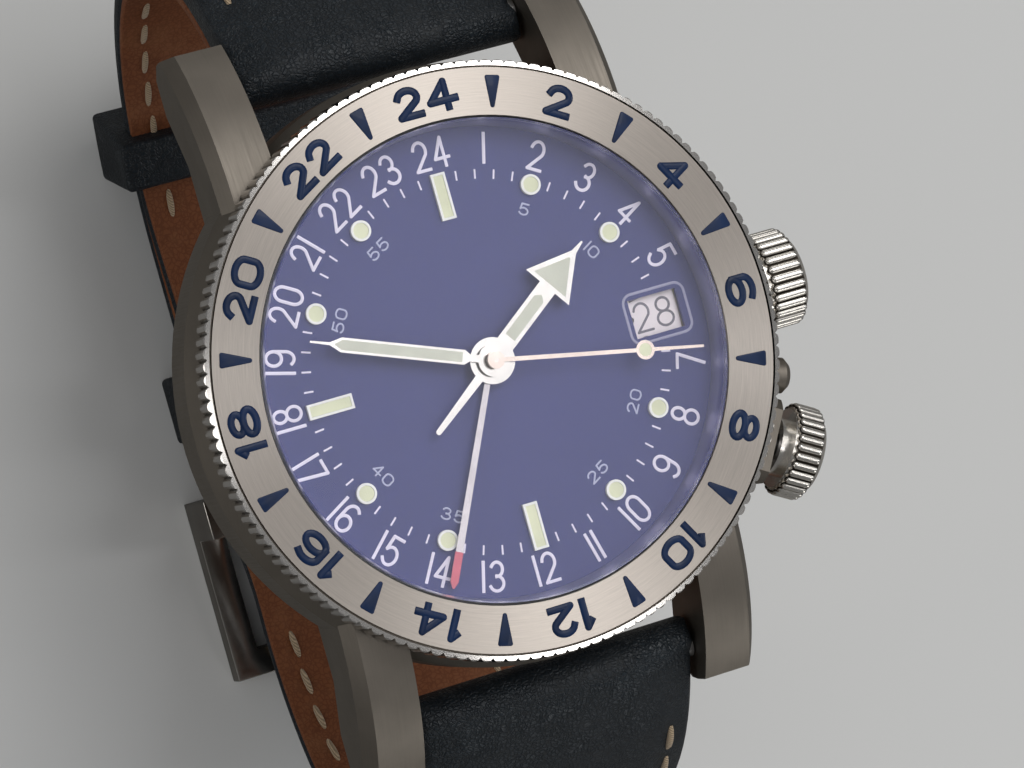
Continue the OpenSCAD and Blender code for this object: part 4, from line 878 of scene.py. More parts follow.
def add_line(data: bpy.types.Curve, beads: list[Quad], closed: bool = False) -> None:
    """Adds a line to a curve.

    Args:
        data: the curve.
        beads: its points, each x, y and z in metres and a share of the bead's radius.
        closed: whether its end joins its start.
    """
    spline = data.splines.new("POLY")
    spline.points.add(len(beads) - 1)
    spline.use_cyclic_u = closed
    for item, (*place, share) in zip(spline.points, beads):
        item.co = (*place, 1.0)
        item.radius = share


def swept(data: bpy.types.Curve) -> BMesh:
    """Turns a curve into the mesh of its beads.

    Args:
        data: the curve.

    Returns:
        The mesh, in metres.
    """
    made = linked(data.name + "_sweep", data)
    bm = bmesh.new()
    bm.from_mesh(made.evaluated_get(bpy.context.evaluated_depsgraph_get()).to_mesh())
    bpy.data.objects.remove(made)
    return bm


# Numerals drawn with strokes


def arc(cx: float, cy: float, rx: float, ry: float, start: float, stop: float,
        steps: int = 14) -> list[Point]:
    """Returns points along an ellipse's arc, angles in degrees."""
    turns = [math.radians(start + (stop - start) * i / steps) for i in range(steps + 1)]
    return [(cx + rx * math.cos(t), cy + ry * math.sin(t)) for t in turns]


SIX: list[Stroke] = [(arc(0, -0.22, 0.5, 0.28, 0, 360, 24)[:-1], True),
                     ([(-0.5, -0.22), *arc(0, 0.2, 0.5, 0.3, 180, 48)], False)]
DIGITS: dict[str, list[Stroke]] = {
    "0": [([*arc(0, 0.2, 0.5, 0.3, 180, 0), *arc(0, -0.2, 0.5, 0.3, 0, -180)], True)],
    "1": [([(0.3, -0.5), (0.3, 0.5)], False), ([(0.3, 0.5), (-0.5, 0.3)], False)],
    "2": [([*arc(0, 0.2, 0.46, 0.3, 165, -32), (-0.48, -0.5)], False),
          ([(-0.48, -0.5), (0.48, -0.5)], False)],
    "3": [(arc(-0.02, 0.25, 0.42, 0.25, 155, -90), False), (arc(-0.02, -0.24, 0.5, 0.26, 90, -155), False)],
    "4": [([(0.18, -0.5), (0.18, 0.5)], False), ([(0.18, 0.5), (-0.5, -0.22)], False),
          ([(-0.5, -0.22), (0.5, -0.22)], False)],
    "5": [([(0.4, 0.5), (-0.34, 0.5)], False), ([(-0.34, 0.5), (-0.42, 0.04)], False),
          (arc(-0.02, -0.18, 0.5, 0.32, 142, -150), False)],
    "6": SIX,
    "7": [([(-0.48, 0.5), (0.48, 0.5)], False), ([(0.48, 0.5), (-0.12, -0.5)], False)],
    "8": [(arc(0, 0.26, 0.41, 0.24, 0, 360, 24)[:-1], True),
          (arc(0, -0.24, 0.5, 0.26, 0, 360, 24)[:-1], True)],
    "9": [([(-x, -y) for x, y in points], closed) for points, closed in SIX],
}
PLAIN_ONE: list[Stroke] = [([(0.0, -0.5), (0.0, 0.5)], False)]
ROUND_END = ((0.45, 0.893), (0.8, 0.6), (0.97, 0.24))
SQUARE_END = ((0.92, 1.0), (1.0, 0.9))


@dataclass
class Numerals:
    """Strokes of one width, laid on one level, that become one piece.

    Attributes:
        name: the piece's name.
        level: height of the paint's middle over the dial, in millimetres.
        stroke: width of a stroke.
        rise: how far the paint stands out of that level.
        height: height of a digit.
        width: width of a digit.
        gap: gap between digits.
        plain_one: whether a 1 is a bare bar.
        shares: digits wider or narrower than the others, as a share of the width.
        square: whether free ends are cut square instead of round.
        apart: how far the strokes are kept apart while they are swept.
        press: how steeply a bead rises before it is cut flat.
        step: height between crossing strokes, as a share of the rise.
        strokes: the strokes so far.
    """

    name: str
    level: float
    stroke: float
    rise: float
    height: float = 2.0
    width: float = 1.0
    gap: float = 0.25
    plain_one: bool = False
    shares: dict[str, float] = field(default_factory=dict)
    square: bool = False
    apart: float = 4.0
    press: float = 4.4
    step: float = 0.06
    strokes: list[Stroke] = field(default_factory=list)

    def write(self, text: str, middle: Point, up: Point) -> None:
        """Adds a number.

        Args:
            text: its digits.
            middle: where its centre lies.
            up: the direction of its top.
        """
        right = (up[1], -up[0])
        wide = [self.stroke if digit == "1" and self.plain_one else self.width * self.shares.get(digit, 1.0)
                for digit in text]
        cursor = -(sum(wide) + self.gap * (len(text) - 1)) / 2
        for digit, room in zip(text, wide):
            shapes = PLAIN_ONE if digit == "1" and self.plain_one else DIGITS[digit]
            span = room - self.stroke
            for points, closed in shapes:
                placed = []
                for px, py in points:
                    along = cursor + room / 2 + px * span
                    high = py * (self.height - self.stroke)
                    placed.append((middle[0] + right[0] * along + up[0] * high,
                                   middle[1] + right[1] * along + up[1] * high))
                self.strokes.append((placed, closed))
            cursor += room + self.gap

    def around(self, text: str, radius: float, clock: float, outward: bool) -> None:
        """Adds a number on a ring.

        Args:
            text: its digits.
            radius: the ring's radius, at the number's centre.
            clock: where it stands, in degrees from 12 o'clock.
            outward: whether its top points outward instead of inward.
        """
        turn = math.radians(clock)
        out = (math.sin(turn), math.cos(turn))
        self.write(text, (out[0] * radius, out[1] * radius), out if outward else (-out[0], -out[1]))

    def piece(self, material: Material) -> bpy.types.Object:
        """Sweeps every stroke as a bead and presses it flat on top.

        Args:
            material: what the piece is made of.

        Returns:
            The piece.
        """
        data = bead_curve(self.name, self.stroke / 2)
        met = [end for points, closed in self.strokes if not closed for end in (points[0], points[-1])]
        for layer, (points, closed) in enumerate(self.strokes):
            beads = [(x, y, 1.0) for x, y in points]
            if not closed:
                start = self.cap(points[0], points[1], met)[::-1]
                beads = start + beads + self.cap(points[-1], points[-2], met)
            level = layer * self.apart * MM
            add_line(data, [(x * MM, y * MM, level, share) for x, y, share in beads], closed)
        bm = swept(data)
        bmesh.ops.remove_doubles(bm, verts=bm.verts, dist=1e-7)
        steep = self.press * self.rise / self.stroke
        for vert in bm.verts:
            layer = round(vert.co.z / (self.apart * MM))
            high = (vert.co.z / MM - layer * self.apart) * steep
            high = max(-self.rise, min(self.rise, high)) - self.step * self.rise * (layer % 4)
            vert.co.z = DIAL_Z + (self.level + high) * MM
        return settle(self.name, bm, material, 60.0)

    def cap(self, end: Point, before: Point, met: list[Point]) -> list[Triple]:
        """Returns the points that finish one end of a stroke.

        Args:
            end: the stroke's end.
            before: the point next to it.
            met: every stroke's ends; one that is there twice is a corner, and corners are round.

        Returns:
            Points beyond the end, nearest first, each with its share of the stroke's width.
        """
        half = self.stroke / 2
        length = math.hypot(end[0] - before[0], end[1] - before[1]) or 1.0
        ux, uy = (end[0] - before[0]) / length, (end[1] - before[1]) / length
        free = sum(math.dist(end, other) < 1e-4 for other in met) == 1
        shape = SQUARE_END if self.square and free else ROUND_END
        return [(end[0] + ux * half * far, end[1] + uy * half * far, thin) for far, thin in shape]


# Sub-assemblies


@dataclass(frozen=True)
class Lamp:
    """A soft lamp aimed at the watch's head.

    Attributes:
        name: the lamp's name.
        place: where it stands, in metres.
        size: its width and height, in metres.
        power: its power in watts.
        color: the colour of its light.
    """

    name: str
    place: Triple
    size: tuple[float, float]
    power: float
    color: Color

    def build(self) -> None:
        """Adds the lamp."""
        data = bpy.data.lights.new(self.name, "AREA")
        data.shape = "RECTANGLE"
        data.size, data.size_y = self.size
        data.energy = self.power
        data.color = self.color
        at = Vector(self.place)
        aim = (Vector((0, 0, DIAL_Z)) - at).to_track_quat("-Z", "Y").to_matrix().to_4x4()
        linked(self.name, data).matrix_world = Matrix.Translation(at) @ aim


@dataclass
class Studio:
    """The camera at the photograph's viewing angle, the floor and the lamps.

    Attributes:
        camera_mm: the camera's place in millimetres from the dial's centre.
        film: width of its film in millimetres.
        focal_px: its focal length in pixels of the picture.
        picture_px: the picture's width in pixels.
        right: the picture's right as a direction in the scene.
        up: the picture's top.
        back: the way from the scene to the camera.
        floor_seen: the floor's colour to the camera.
        floor_mirrored: its colour to everything else.
        lamps: the lamps.
    """

    camera_mm: Triple = (-83.631, 4.9, 264.328)
    film: float = 36.0
    focal_px: float = 3954.07
    picture_px: float = 1024.0
    right: Triple = (0.914571, -0.270095, 0.301013)
    up: Triple = (0.264512, 0.962515, 0.059984)
    back: Triple = (-0.305931, 0.024762, 0.951732)
    floor_seen: Color = (0.72, 0.72, 0.71)
    floor_mirrored: Color = (0.22, 0.215, 0.205)
    lamps: tuple[Lamp, ...] = (
        Lamp("overhead", (0.36, 0.46, 1.05), (0.54, 0.52), 3.5, (1.0, 0.985, 0.965)),
        Lamp("panel", (0.316, -0.018, 1.05), (0.44, 0.44), 0.52, (1.0, 0.985, 0.975)),
        Lamp("side_left", (-0.60, 0.05, 0.26), (0.3, 0.42), 0.7, (1.0, 0.98, 0.95)),
        Lamp("side_right", (0.55, -0.10, 0.35), (0.12, 0.40), 0.6, (0.97, 0.98, 1.0)),
        Lamp("front_high", (0.32, -0.34, 1.02), (0.24, 0.12), 0.36, (1.0, 0.985, 0.975)),
        Lamp("left_high", (0.04, 0.0, 1.04), (0.08, 0.34), 0.14, (1.0, 0.985, 0.975)),
        Lamp("front_low", (0.27, -0.80, 0.30), (0.22, 0.44), 0.7, (1.0, 0.99, 0.96)),
        Lamp("back_low", (0.27, 0.85, 0.26), (0.22, 0.30), 0.4, (1.0, 0.99, 0.96)),
    )

    def build(self) -> None:
        """Makes the camera, the floor, the world and the lamps."""
        bpy.context.scene.view_settings.view_transform = "Standard"
        self.camera()
        self.floor()
        self.world()
        for lamp in self.lamps:
            lamp.build()

    def camera(self) -> None:
        """Makes the camera the scene is seen by."""
        data = bpy.data.cameras.new("camera")
        data.sensor_width = self.film
        data.lens = self.focal_px * self.film / self.picture_px
        data.clip_start = 0.01
        camera = linked("camera", data)
        place = Vector(self.camera_mm) * MM + Vector((0.0, 0.0, DIAL_Z))
        turn = Matrix((self.right, self.up, self.back)).transposed().to_4x4()
        camera.matrix_world = Matrix.Translation(place) @ turn
        bpy.context.scene.camera = camera

    def floor(self) -> None:
        """Makes the pale floor the watch stands on."""
        bm = bmesh.new()
        bmesh.ops.create_grid(bm, x_segments=1, y_segments=1, size=1.5)
        surface = Surface("floor_pale")
        surface.plain(Roughness=0.9)
        seen = surface.tree.node("ShaderNodeLightPath").outputs["Is Camera Ray"]
        surface.feed("Base Color", surface.tree.mix(seen, rgba(self.floor_mirrored), rgba(self.floor_seen)))
        settle("floor", bm, surface.material)

    def world(self) -> None:
        """Lights the scene evenly and shows a pale ground behind it."""
        world = bpy.data.worlds.new("studio")
        world.use_nodes = True
        bpy.context.scene.world = world
        tree = Tree(world.node_tree)
        world.node_tree.nodes.clear()
        grounds = ((0.8, 0.8, 0.8), 1.0), ((0.86, 0.88, 0.9), 0.32), ((0.88, 0.88, 0.88), 0.15)
        seen, light, mirrored = (tree.node("ShaderNodeBackground", {0: rgba(color), 1: strength})
                                 for color, strength in grounds)
        mixed = tree.by_ray("Is Camera Ray", seen, tree.by_ray("Is Glossy Ray", mirrored, light))
        tree.node("ShaderNodeOutputWorld", {0: mixed.outputs[0]})


@dataclass
class NodeDress:
    """Gives every carried-over CAD node its finish.

    Attributes:
        paints: the finishes.
        finishes: each finish in use to the nodes that have it.
    """

    paints: Paints
    finishes: dict[str, str] = field(default_factory=lambda: {
        "steel_case": "mid_case",
        "steel_back": "case_back",
        "gasket_black": "case_back_gasket crown_gasket lock_gasket",
        "flange_satin": "rehaut_ring",
        "crystal_clear": "crystal",
        "gasket_grey": "crystal_gasket",
        "dial_blue": "dial",
        "marker_white": "marker_frames",
        "lume_ivory": "marker_lume",
        "steel_inner": "movement_holder crown_tube lock_crown_tube bezel_spring lug_spring_bars "
                       "buckle_bar winding_stem sliding_pinion lock_spindle cannon_pinion "
                       "escape_wheel pallet_fork",
        "plate_nickel": "main_plate train_bridge balance_cock rotor",
        "spring_blued": "bridge_screws mainspring balance_spring",
        "ruby": "jewels",
        "leather_navy": "upper_strap_leather lower_strap_leather fixed_keeper free_keeper",
        "leather_tan": "upper_strap_lining lower_strap_lining",
        "thread_cream": "strap_thread",
        "steel_bezel_top": "bezel",
        "steel_crown": "crown",
        "steel_lock_crown": "lock_crown",
        "shoe_bronze": "brake_shoe",
        "hand_silver": "hour_hand minute_hand",
        "rose_gold": "seconds_hand",
        "hand_dull": "zone_hand",
        "wheel_gilt": "hour_wheel zone_wheel minute_wheel date_driver great_wheel third_wheel "
                      "barrel balance_wheel",
        "date_ground": "date_disc",
        "wheel_centre": "sweep_wheel",
        "steel_polished": "buckle_frame buckle_tongue",
    })

    def dress(self) -> None:
        """Puts the finishes on."""
        finishes = {node: finish for finish, nodes in self.finishes.items() for node in nodes.split()}
        for node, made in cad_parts.items():
            finish = finishes[node]
            made.data.materials.clear()
            made.data.materials.append(self.paints[finish])
            LOG.info("node %s is %s", node, finish)


def report(piece: bpy.types.Object, body: str) -> bpy.types.Object:
    """Rides a piece on its body and logs it.

    Args:
        piece: the piece.
        body: the body it moves with.

    Returns:
        The piece.
    """
    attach(piece, body)
    LOG.info("piece %s rides on %s", piece.name, body)
    return piece


@dataclass
class Bezel:
    """The enamel-filled 24-hour scale of the turning bezel, in millimetres from the dial's centre."""

    paints: Paints
    top: float = 2.77
    ring: float = 18.74
    height: float = 2.36
    wedge_l: float = 2.3
    wedge_wide: float = 1.1
    wedge_tip: float = 0.34
    wedge_round: float = 0.16

    def build(self) -> None:
        """Makes the numerals at the even hours and the wedges at the odd ones."""
        scale = Numerals("bezel_numerals", self.top, 0.55, 0.06, self.height, 2.28, 0.24,
                         shares={"1": 0.42, "2": 0.92, "4": 1.04}, square=True)
        for hour in range(2, 25, 2):
            scale.around(str(hour), self.ring, hour * HOUR_TURN, True)
        report(scale.piece(self.paints["enamel_navy"]), "bezel")
        bm = bmesh.new()
        wide, tip, half, soft = self.wedge_wide / 2, self.wedge_tip / 2, self.wedge_l / 2, self.wedge_round
        outline = (arc(self.ring + half - soft, wide - soft, soft, soft, 0, 100, 5)
                   + arc(self.ring - half + tip, 0.0, tip, tip, 100, 260, 8)
                   + arc(self.ring + half - soft, soft - wide, soft, soft, 260, 360, 5))
        for hour in range(1, 24, 2):
            clocked(bm, plate(bm, outline, self.top - 0.03, self.top + 0.05), hour * HOUR_TURN)
        rounded(bm, [e for e in bm.edges if all(v.co.z > DIAL_Z + self.top * MM for v in e.verts)], 0.06)
        report(settle("bezel_wedges", bm, self.paints["enamel_navy"], 50.0), "bezel")


@dataclass
class Dial:
    """What is printed on the dial, and the date ring's numbers, in millimetres from the dial's centre."""

    paints: Paints
    ring: float = 15.05
    minute_ring: float = 11.1
    tick_in: float = 12.87
    tick_out: float = 13.55
    tick_wide: float = 0.13
    paint: float = 0.02
    date_level: float = -0.5
    date_ring: float = 12.95
    date_days: int = 31
    date_shown: int = 28
    window: Triple = (10.75, 15.45, 1.8)
    window_round: float = 0.7

    def build(self) -> None:
        """Makes the numerals, ticks, date outline and date numbers."""
        hours = Numerals("dial_hours", 0.0, 0.24, self.paint, 2.26, 1.24, 0.26, plain_one=True, square=True)
        for hour in range(1, 25):
            if hour != 6:
                hours.around(str(hour), self.ring, hour * HOUR_TURN, not 6 < hour < 18)
        report(hours.piece(self.paints["print_white"]), "case")
        minutes = Numerals("dial_minutes", 0.0, 0.13, self.paint, 0.9, 0.78, 0.18, plain_one=True,
                           square=True)
        for minute in (5, 10, 20, 25, 35, 40, 50, 55):
            minutes.around(str(minute), self.minute_ring, minute * MINUTE_TURN, not 15 < minute < 45)
        report(minutes.piece(self.paints["print_soft"]), "case")
        self.ticks()
        outline = Numerals("date_outline", 0.0, 0.2, self.paint)
        inner, outer, half = self.window
        soft = self.window_round
        path: list[Point] = []
        for turn, (x, y) in enumerate(((outer - soft, half - soft), (inner + soft, half - soft),
                                       (inner + soft, -half + soft), (outer - soft, -half + soft))):
            path += arc(x, y, soft, soft, 90 * turn, 90 * turn + 90, 8)
        outline.strokes.append((path, True))
        report(outline.piece(self.paints["print_lilac"]), "case")
        self.dates()

    def ticks(self) -> None:
        """Makes the minute ticks between the markers."""
        bm = bmesh.new()
        outline = even([(self.tick_in, -self.tick_wide / 2), (self.tick_out, -self.tick_wide / 2)])
        for minute in range(60):
            if minute % 5 and minute not in (14, 16):
                clocked(bm, plate(bm, outline, -0.01, self.paint * 0.6), minute * MINUTE_TURN)
        report(settle("dial_ticks", bm, self.paints["print_white"]), "case")

    def dates(self) -> None:
        """Makes the numbers 1 to 31 round the date ring, with 28 in the window."""
        numbers = Numerals("date_numbers", self.date_level, 0.19, 0.008, 2.2, 1.4, 0.3)
        for day in range(1, self.date_days + 1):
            turn = math.radians((day - self.date_shown) * 360.0 / self.date_days)
            middle = (self.date_ring * math.cos(turn), self.date_ring * math.sin(turn))
            numbers.write(str(day), middle, (-math.sin(turn), math.cos(turn)))
        report(numbers.piece(self.paints["date_ink"]), "date")


@dataclass
class Hands:
    """The hands' luminous fillings and the second-zone hand's red tip."""

    paints: Paints
    thick: float = 0.12
    hour_clock: float = 54.0
    minute_clock: float = 290.8
    seconds_clock: float = 101.5
    zone_clock: float = 206.2

    def fill(self, name: str, outlines: list[list[Point]], clock: float, level: float, body: str, finish: str,
             proud: float = 0.015) -> None:
        """Makes one filling from outlines drawn along +X.

        Args:
            name: the piece's name.
            outlines: its closed outlines.
            clock: where the hand points.
            level: the hand's underside over the dial.
            body: the body it rides on.
            finish: its material.
            proud: how far it stands out of the hand.
        """
        bm = bmesh.new()
        for outline in outlines:
            clocked(bm, plate(bm, outline, level + 0.01, level + self.thick + proud), clock)
        report(settle(name, bm, self.paints[finish]), body)

    def build(self) -> None:
        """Makes all fillings."""
        self.fill("hour_lume", [even([(2.1, -0.415), (5.55, -0.415), (5.9, -0.05)]),
                                even([(6.9, -1.455), (9.3, -0.065)])],
                  self.hour_clock, 0.85, "hours", "lume_grey")
        self.fill("minute_lume", [even([(2.3, -0.355), (10.99, -0.355), (11.5, -0.045)])],
                  self.minute_clock, 1.2, "minutes", "lume_grey")
        self.fill("seconds_lume", [circle(11.1, 0.0, 0.475)],
                  self.seconds_clock, 1.55, "seconds", "lume_ivory", -0.02)
        self.fill("zone_tip", [even([(13.56, -0.28), (15.66, -0.29), (16.13, -0.06)])],
                  self.zone_clock, 0.48, "second_zone", "tip_red", 0.025)


@dataclass
class StrapPath:
    """The strap's route across the watch, in millimetres and degrees from the dial's centre.

    A move of the route is a bend's radius and angle, or a length and 0. The radius of a bend that turns up
    is below zero.

    Attributes:
        bar: across and up, where the lug bar lies.
        heading: the slope at the bar.
        round_watch: moves of both halves, round the watch's side and under it.
        to_buckle: the upper half's last move.
        over_upper: the tail's last moves, which lay it on the upper half and end in its bend.
        step: length between stations.
        pad: thickness at the bar.
        pad_run: length over which the padding thins out.
        wide: width at the bar.
        narrow: width at the buckle.
        taper_run: length over which the width tapers.
        crowned: how far the outer face falls towards its edges at the bar.
        crown_run: length over which that fades.
    """

    bar: Point = (23.8, -6.0)
    heading: float = -30.0
    round_watch: tuple[Point, ...] = ((24.4, 60.0), (20.6, 90.0))
    to_buckle: tuple[Point, ...] = ((22.4, 0.0),)
    over_upper: tuple[Point, ...] = ((-8.80132, 32.2768), (8.80132, 32.2768), (21.4, 0.0), (23.32, 33.0))
    step: float = 1.6
    pad: float = 4.3
    pad_run: float = 44.0
    wide: float = 21.4
    narrow: float = 18.0
    taper_run: float = 70.0
    crowned: float = 0.95
    crown_run: float = 60.0

    def turn(self, at: Point, heading: float, radius: float, angle: float) -> Point:
        """Moves along an arc that turns down by angle degrees."""
        h, e = math.radians(heading), math.radians(heading - angle)
        return at[0] + radius * (math.sin(h) - math.sin(e)), at[1] + radius * (math.cos(e) - math.cos(h))

    def stations(self, tail: bool) -> list[Quad]:
        """Lists (y, z, heading, run) along a half.

        Args:
            tail: whether this is the long half with the tail.

        Returns:
            The stations, about a step apart.
        """
        spots: list[Quad] = []
        at, heading, run = self.bar, self.heading, 0.0
        for size, angle in self.round_watch + (self.over_upper if tail else self.to_buckle):
            length = abs(size) * math.radians(angle) if angle else size
            steps = max(2, round(length / self.step))
            for i in range(steps + 1):
                share = i / steps
                if angle:
                    swing = math.copysign(angle * share, size)
                    spot, facing = self.turn(at, heading, size, swing), heading - swing
                else:
                    h = math.radians(heading)
                    spot = (at[0] + math.cos(h) * size * share, at[1] + math.sin(h) * size * share)
                    facing = heading
                if i or not spots:
                    spots.append((spot[0], spot[1], facing, run + length * share))
            at, heading, run = spots[-1][:2], spots[-1][2], run + length
        return spots

    def thick(self, run: float, end: float) -> float:
        """The strap's thickness at a run."""
        return end + (self.pad - end) * max(0.0, 1.0 - run / self.pad_run) ** 1.3

    def crown(self, run: float) -> float:
        """How far the outer face falls towards its edges at a run."""
        return self.crowned * max(0.25, 1.0 - run / self.crown_run)

    def width(self, run: float) -> float:
        """The strap's width at a run."""
        return self.wide + (self.narrow - self.wide) * min(1.0, run / self.taper_run)


@dataclass
class Strap:
    """Both strap halves, their lining, stitches and keepers; lengths are in millimetres.

    Attributes:
        paints: the finishes.
        path: the strap's route.
        halves: each half's name, whether it has the tail, and its thickness at its end.
        lining: thickness of the lining.
        lining_from: run at which the lining starts.
        edge_r: radius of the leather's rolled edges.
        inset: from the edge to the stitches.
        stitch: length of a stitch.
        pitch: from stitch to stitch.
        sewn: runs between which it is sewn.
        thread_r: radius of the thread.
        tip: length of the tail's rounded tip.
        bar_end: across and up, where the buckle's bar lies.
        bar_r: radius of the leather round it.
        slot_half: half the width of the tongue's slot.
        hole_r: radius of a punched hole.
        hole_pitch: from hole to hole.
    """

    paints: Paints
    path: StrapPath = field(default_factory=StrapPath)
    halves: tuple[tuple[str, bool, float], ...] = (("upper", False, 2.6), ("lower", True, 2.4))
    lining: float = 0.8
    lining_from: float = 3.5
    edge_r: float = 0.75
    inset: float = 1.9
    stitch: float = 2.3
    pitch: float = 3.4
    sewn: tuple[float, float] = (7.0, 55.0)
    thread_r: float = 0.27
    tip: float = 8.5
    bar_end: Point = (-7.0, -47.731)
    bar_r: float = 1.4
    slot_half: float = 1.5
    hole_r: float = 1.0
    hole_pitch: float = 6.5

    def ring(self, wide: float, low: float, high: float, crown: float, edge: float) -> list[Point]:
        """One section of leather: (across, up) points round a crowned band with rolled edges.

        Args:
            wide: its width.
            low: its underside.
            high: its top at the middle.
            crown: how far the top falls towards the edges.
            edge: radius of the edges' roll.

        Returns:
            The points, the same number for any size.
        """
        half = wide / 2
        roll = min(edge, (high - low) * 0.45)
        side = high - crown
        over = [(half - roll + roll * math.sin(turn), side - roll + roll * math.cos(turn))
                for turn in map(math.radians, (90, 60, 30, 0))]
        top = [(half - 2.6, side + crown * 0.55), (half - 5.2, side + crown * 0.93), (0.0, high)]
        right = [(half - 0.25 * roll, low), (half, low + 0.3 * roll)] + over + top[:2]
        left = [(-x, z) for x, z in reversed(right)]
        return right + [top[2]] + left + [(-half * 0.5, low), (0.0, low), (half * 0.5, low)]

    def sweep(self, rings: list[list[Vector]]) -> BMesh:
        """Extrudes a section through every station and closes its two ends.

        Args:
            rings: the section at each station, in metres and with as many points each.

        Returns:
            The mesh.
        """
        bm = bmesh.new()
        first = [bm.verts.new(p) for p in rings[0]]
        count = len(first)
        edges = [bm.edges.new((first[i], first[(i + 1) % count])) for i in range(count)]
        bm.faces.new(first)
        for ring in rings[1:]:
            grown = bmesh.ops.extrude_edge_only(bm, edges=edges)["geom"]
            edges = [g for g in grown if isinstance(g, bmesh.types.BMEdge) and len(g.link_faces) == 1]
            above = {}
            for item in grown:
                if isinstance(item, bmesh.types.BMVert):
                    for edge in item.link_edges:
                        other = edge.other_vert(item)
                        if other in first:
                            above[other] = item
            first = [above[v] for v in first]
            for vert, place in zip(first, ring):
                vert.co = place
        bm.faces.new(first)
        return bm

    def band(self, tail: bool, end: float, lined: bool) -> BMesh:
        """Builds one layer of one half in place.

        Args:
            tail: whether it is the long half.
            end: the strap's thickness at its end.
            lined: whether it is the lining instead of the outer leather.

        Returns:
            Its mesh.
        """
        spots = self.path.stations(tail)
        finish = spots[-1][3]
        rings = []
        if not lined:
            radius = self.path.thick(0.0, end) / 2 + 0.08
            y, z, heading, _ = spots[0]
            h = math.radians(heading)
            for back in (0.995, 0.93, 0.78, 0.5):
                tall = radius * math.sqrt(1 - back * back)
                spot = (y - math.cos(h) * radius * back, z - math.sin(h) * radius * back, heading)
                rings.append(self.placed(spot, self.ring(self.path.wide, -tall, tall, 0.1 * tall, 0.8), tail))
        for y, z, heading, run in spots:
            if lined and run < self.lining_from:
                continue
            thick = self.path.thick(run, end)
            wide = self.path.width(run)
            if tail and run > finish - self.tip:
                wide *= math.sqrt(max(0.03, 1 - 0.84 * ((run - finish + self.tip) / self.tip) ** 2))
            low = -thick / 2
            if lined:
                section = self.ring(wide - 0.1, low, low + self.lining, 0.02, 0.25)
            else:
                base = low + (0.0 if run < self.lining_from - 0.8 else self.lining)
                crown = min(self.path.crown(run), (thick / 2 - base) * 0.45)
                section = self.ring(wide, base, thick / 2, crown, self.edge_r)
            rings.append(self.placed((y, z, heading), section, tail))
        return self.sweep(rings)

    def placed(self, spot: Triple, section: list[Point], tail: bool) -> list[Vector]:
        """Stands a section at a spot of the route; the long half is mirrored to 6 o'clock.

        Args:
            spot: across, up and heading there.
            section: the section's points.
            tail: whether it is on the long half.

        Returns:
            The points in the scene, in metres.
        """
        y, z, heading = spot
        h = math.radians(heading)
        side = -1.0 if tail else 1.0
        return [Vector(from_dial(a, side * (y - math.sin(h) * b), z + math.cos(h) * b)) for a, b in section]

    def cutters(self, tail: bool) -> BMesh:
        """Shapes the tongue's slot and the punched holes, as solids to cut with.

        Args:
            tail: whether they are for the long half.

        Returns:
            Their mesh.
        """
        bm = bmesh.new()
        y, z = self.bar_end
        wide = 2 * self.slot_half
        if tail:
            block(bm, (wide, 4.6, 12.0), (0.0, y - 1.7, z - 2.0))
            for hole in (1, 2, 3):
                rod(bm, self.hole_r, 4.6, 28, (0.0, y - 1.2 + hole * self.hole_pitch, z - 2.72))
        else:
            block(bm, (wide, 7.0, 8.0), (0.0, y - 1.5, z))
        return bm

    def combine(self, piece: bpy.types.Object, shape: BMesh, operation: str) -> None:
        """Joins a shape to a strap layer, or cuts it out, for good.

        Args:
            piece: the layer.
            shape: the other solid's mesh, which is freed.
            operation: UNION or DIFFERENCE.
        """
        tool = settle(piece.name + "_tool", shape, self.paints["leather_edge"])
        work = piece.modifiers.new("shape", "BOOLEAN")
        work.operation = operation
        work.solver = "EXACT"
        work.object = tool
        mesh = bpy.data.meshes.new_from_object(piece.evaluated_get(bpy.context.evaluated_depsgraph_get()))
        piece.modifiers.clear()
        piece.data = mesh
        bpy.data.objects.remove(tool)

    def build(self) -> None:
        """Makes the four layers, the stitches and the keepers."""
        for half, tail, end in self.halves:
            outer = self.band(tail, end, False)
            piece = settle(f"{half}_strap_outer", outer, self.paints["leather_navy"], 40.0)
            if not tail:
                self.combine(piece, self.bar_roll(), "UNION")
            self.combine(piece, self.cutters(tail), "DIFFERENCE")
            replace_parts(report(piece, "case"), f"{half}_strap_leather")
            lining = self.band(tail, end, True)
            inner = settle(f"{half}_strap_inner", lining, self.paints["leather_tan"], 40.0)
            self.combine(inner, self.cutters(tail), "DIFFERENCE")
            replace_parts(report(inner, "case"), f"{half}_strap_lining")
        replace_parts(self.stitches(), "strap_thread")
        self.keepers()

    def bar_roll(self) -> BMesh:
        """Shapes the roll of leather round the buckle's bar.

        Returns:
            Its mesh.
        """
        bm = bmesh.new()
        rod(bm, self.bar_r, self.path.narrow - 0.1, 40, (0.0, *self.bar_end), across=True)
        return bm

    def stitches(self) -> bpy.types.Object:
        """Makes every stitch, on the outer face and on the lining.

        Returns:
            The piece.
        """
        data = bead_curve("stitching", self.thread_r)
        for _, tail, end in self.halves:
            spots = self.path.stations(tail)
            run = self.sewn[0] - self.stitch / 2
            while run < self.sewn[1]:
                for side in (-1, 1):
                    for face in (1, -1):
                        add_line(data, self.one_stitch(spots, run, side, face, end, tail))
                run += self.pitch
        return report(settle("stitching", swept(data), self.paints["thread_cream"], 60.0), "case")

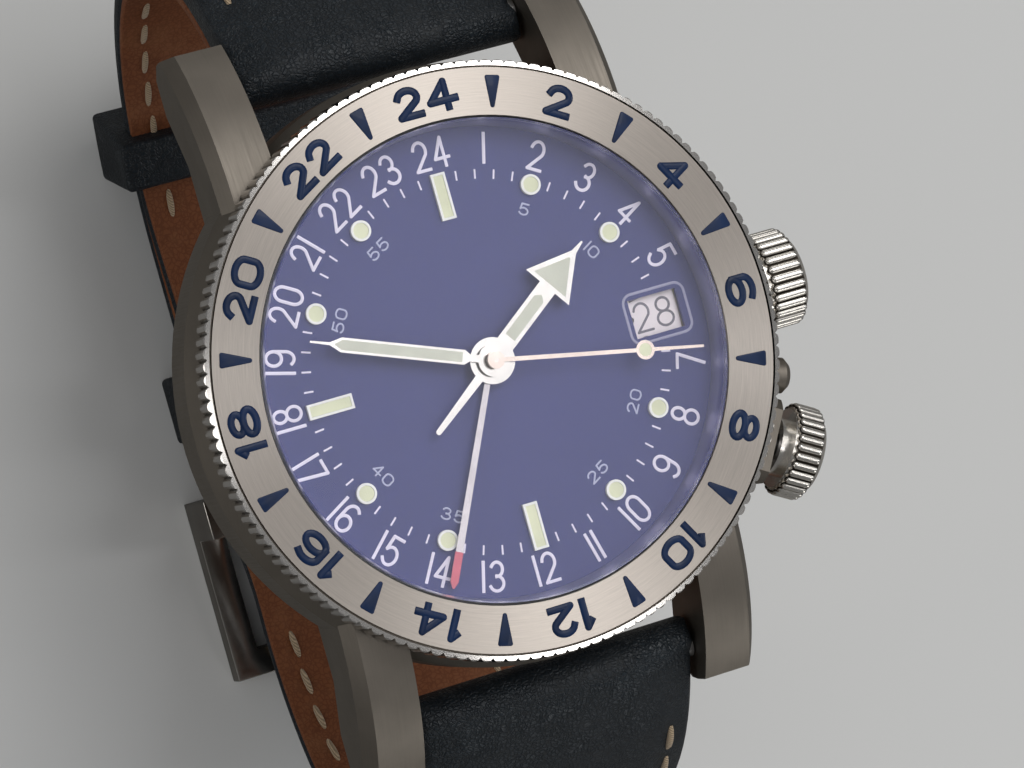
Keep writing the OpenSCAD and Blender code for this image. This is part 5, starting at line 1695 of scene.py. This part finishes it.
    def one_stitch(self, spots: list[Quad], run: float, side: int, face: int, end: float,
                   tail: bool) -> list[Quad]:
        """Lays out one stitch, dipping into the leather at both ends.

        Args:
            spots: the half's stations.
            run: where it starts.
            side: which edge it lies along.
            face: 1 for the outer face, -1 for the lining.
            end: the strap's thickness at its end.
            tail: whether it is on the long half.

        Returns:
            Its points, each with its share of the thread's radius.
        """
        beads = []
        for i in range(7):
            share = i / 6
            thick = self.path.thick(run, end)
            wide = self.path.width(run) / 2 - self.inset - 0.12 * side * (share - 0.5)
            fall = min(self.path.crown(run), 0.8) * 0.62 if face > 0 else 0.0
            lift = 0.22 * math.sin(math.pi * share) ** 0.5 - 0.18
            section = [(side * wide, face * (thick / 2 - fall + lift))]
            place = self.placed(self.along(spots, run + share * self.stitch), section, tail)[0]
            beads.append((*place, 0.72 + 0.28 * math.sin(math.pi * share)))
        return beads

    def along(self, spots: list[Quad], run: float) -> Triple:
        """Finds the place and heading at a run, between its two stations.

        Args:
            spots: the half's stations.
            run: the length along it.

        Returns:
            Across, up and heading there.
        """
        for a, b in zip(spots, spots[1:]):
            if b[3] >= run:
                share = (run - a[3]) / (b[3] - a[3])
                return tuple(a[i] + (b[i] - a[i]) * share for i in range(3))
        return spots[-1][:3]

    def keepers(self) -> None:
        """Makes the two keepers with rolled edges."""
        fixed = softened("fixed_keeper", "fixed_keeper_band", 0.42, self.paints["leather_navy"], 4)
        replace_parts(report(fixed, "case"), "fixed_keeper")
        loose = softened("free_keeper", "free_keeper_band", 0.42, self.paints["leather_navy"], 4)
        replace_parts(report(loose, "loose_keeper"), "free_keeper")


@dataclass
class Buckle:
    """The polished buckle with rounded bars."""

    paints: Paints

    def build(self) -> None:
        """Makes the frame and the tongue."""
        hoop = softened("buckle_frame", "buckle_hoop", 0.5, self.paints["steel_polished"], 4)
        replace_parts(report(hoop, "buckle"), "buckle_frame")
        pin = softened("buckle_tongue", "buckle_pin", 0.22, self.paints["steel_polished"], 3)
        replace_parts(report(pin, "tongue"), "buckle_tongue")


def main() -> None:
    """Builds the studio and every sub-assembly."""
    logging.basicConfig(level=logging.INFO, format="%(message)s")
    paints = Paints()
    Studio().build()
    NodeDress(paints).dress()
    Bezel(paints).build()
    Dial(paints).build()
    Hands(paints).build()
    Strap(paints).build()
    Buckle(paints).build()


if __name__ == "__main__":
    main()
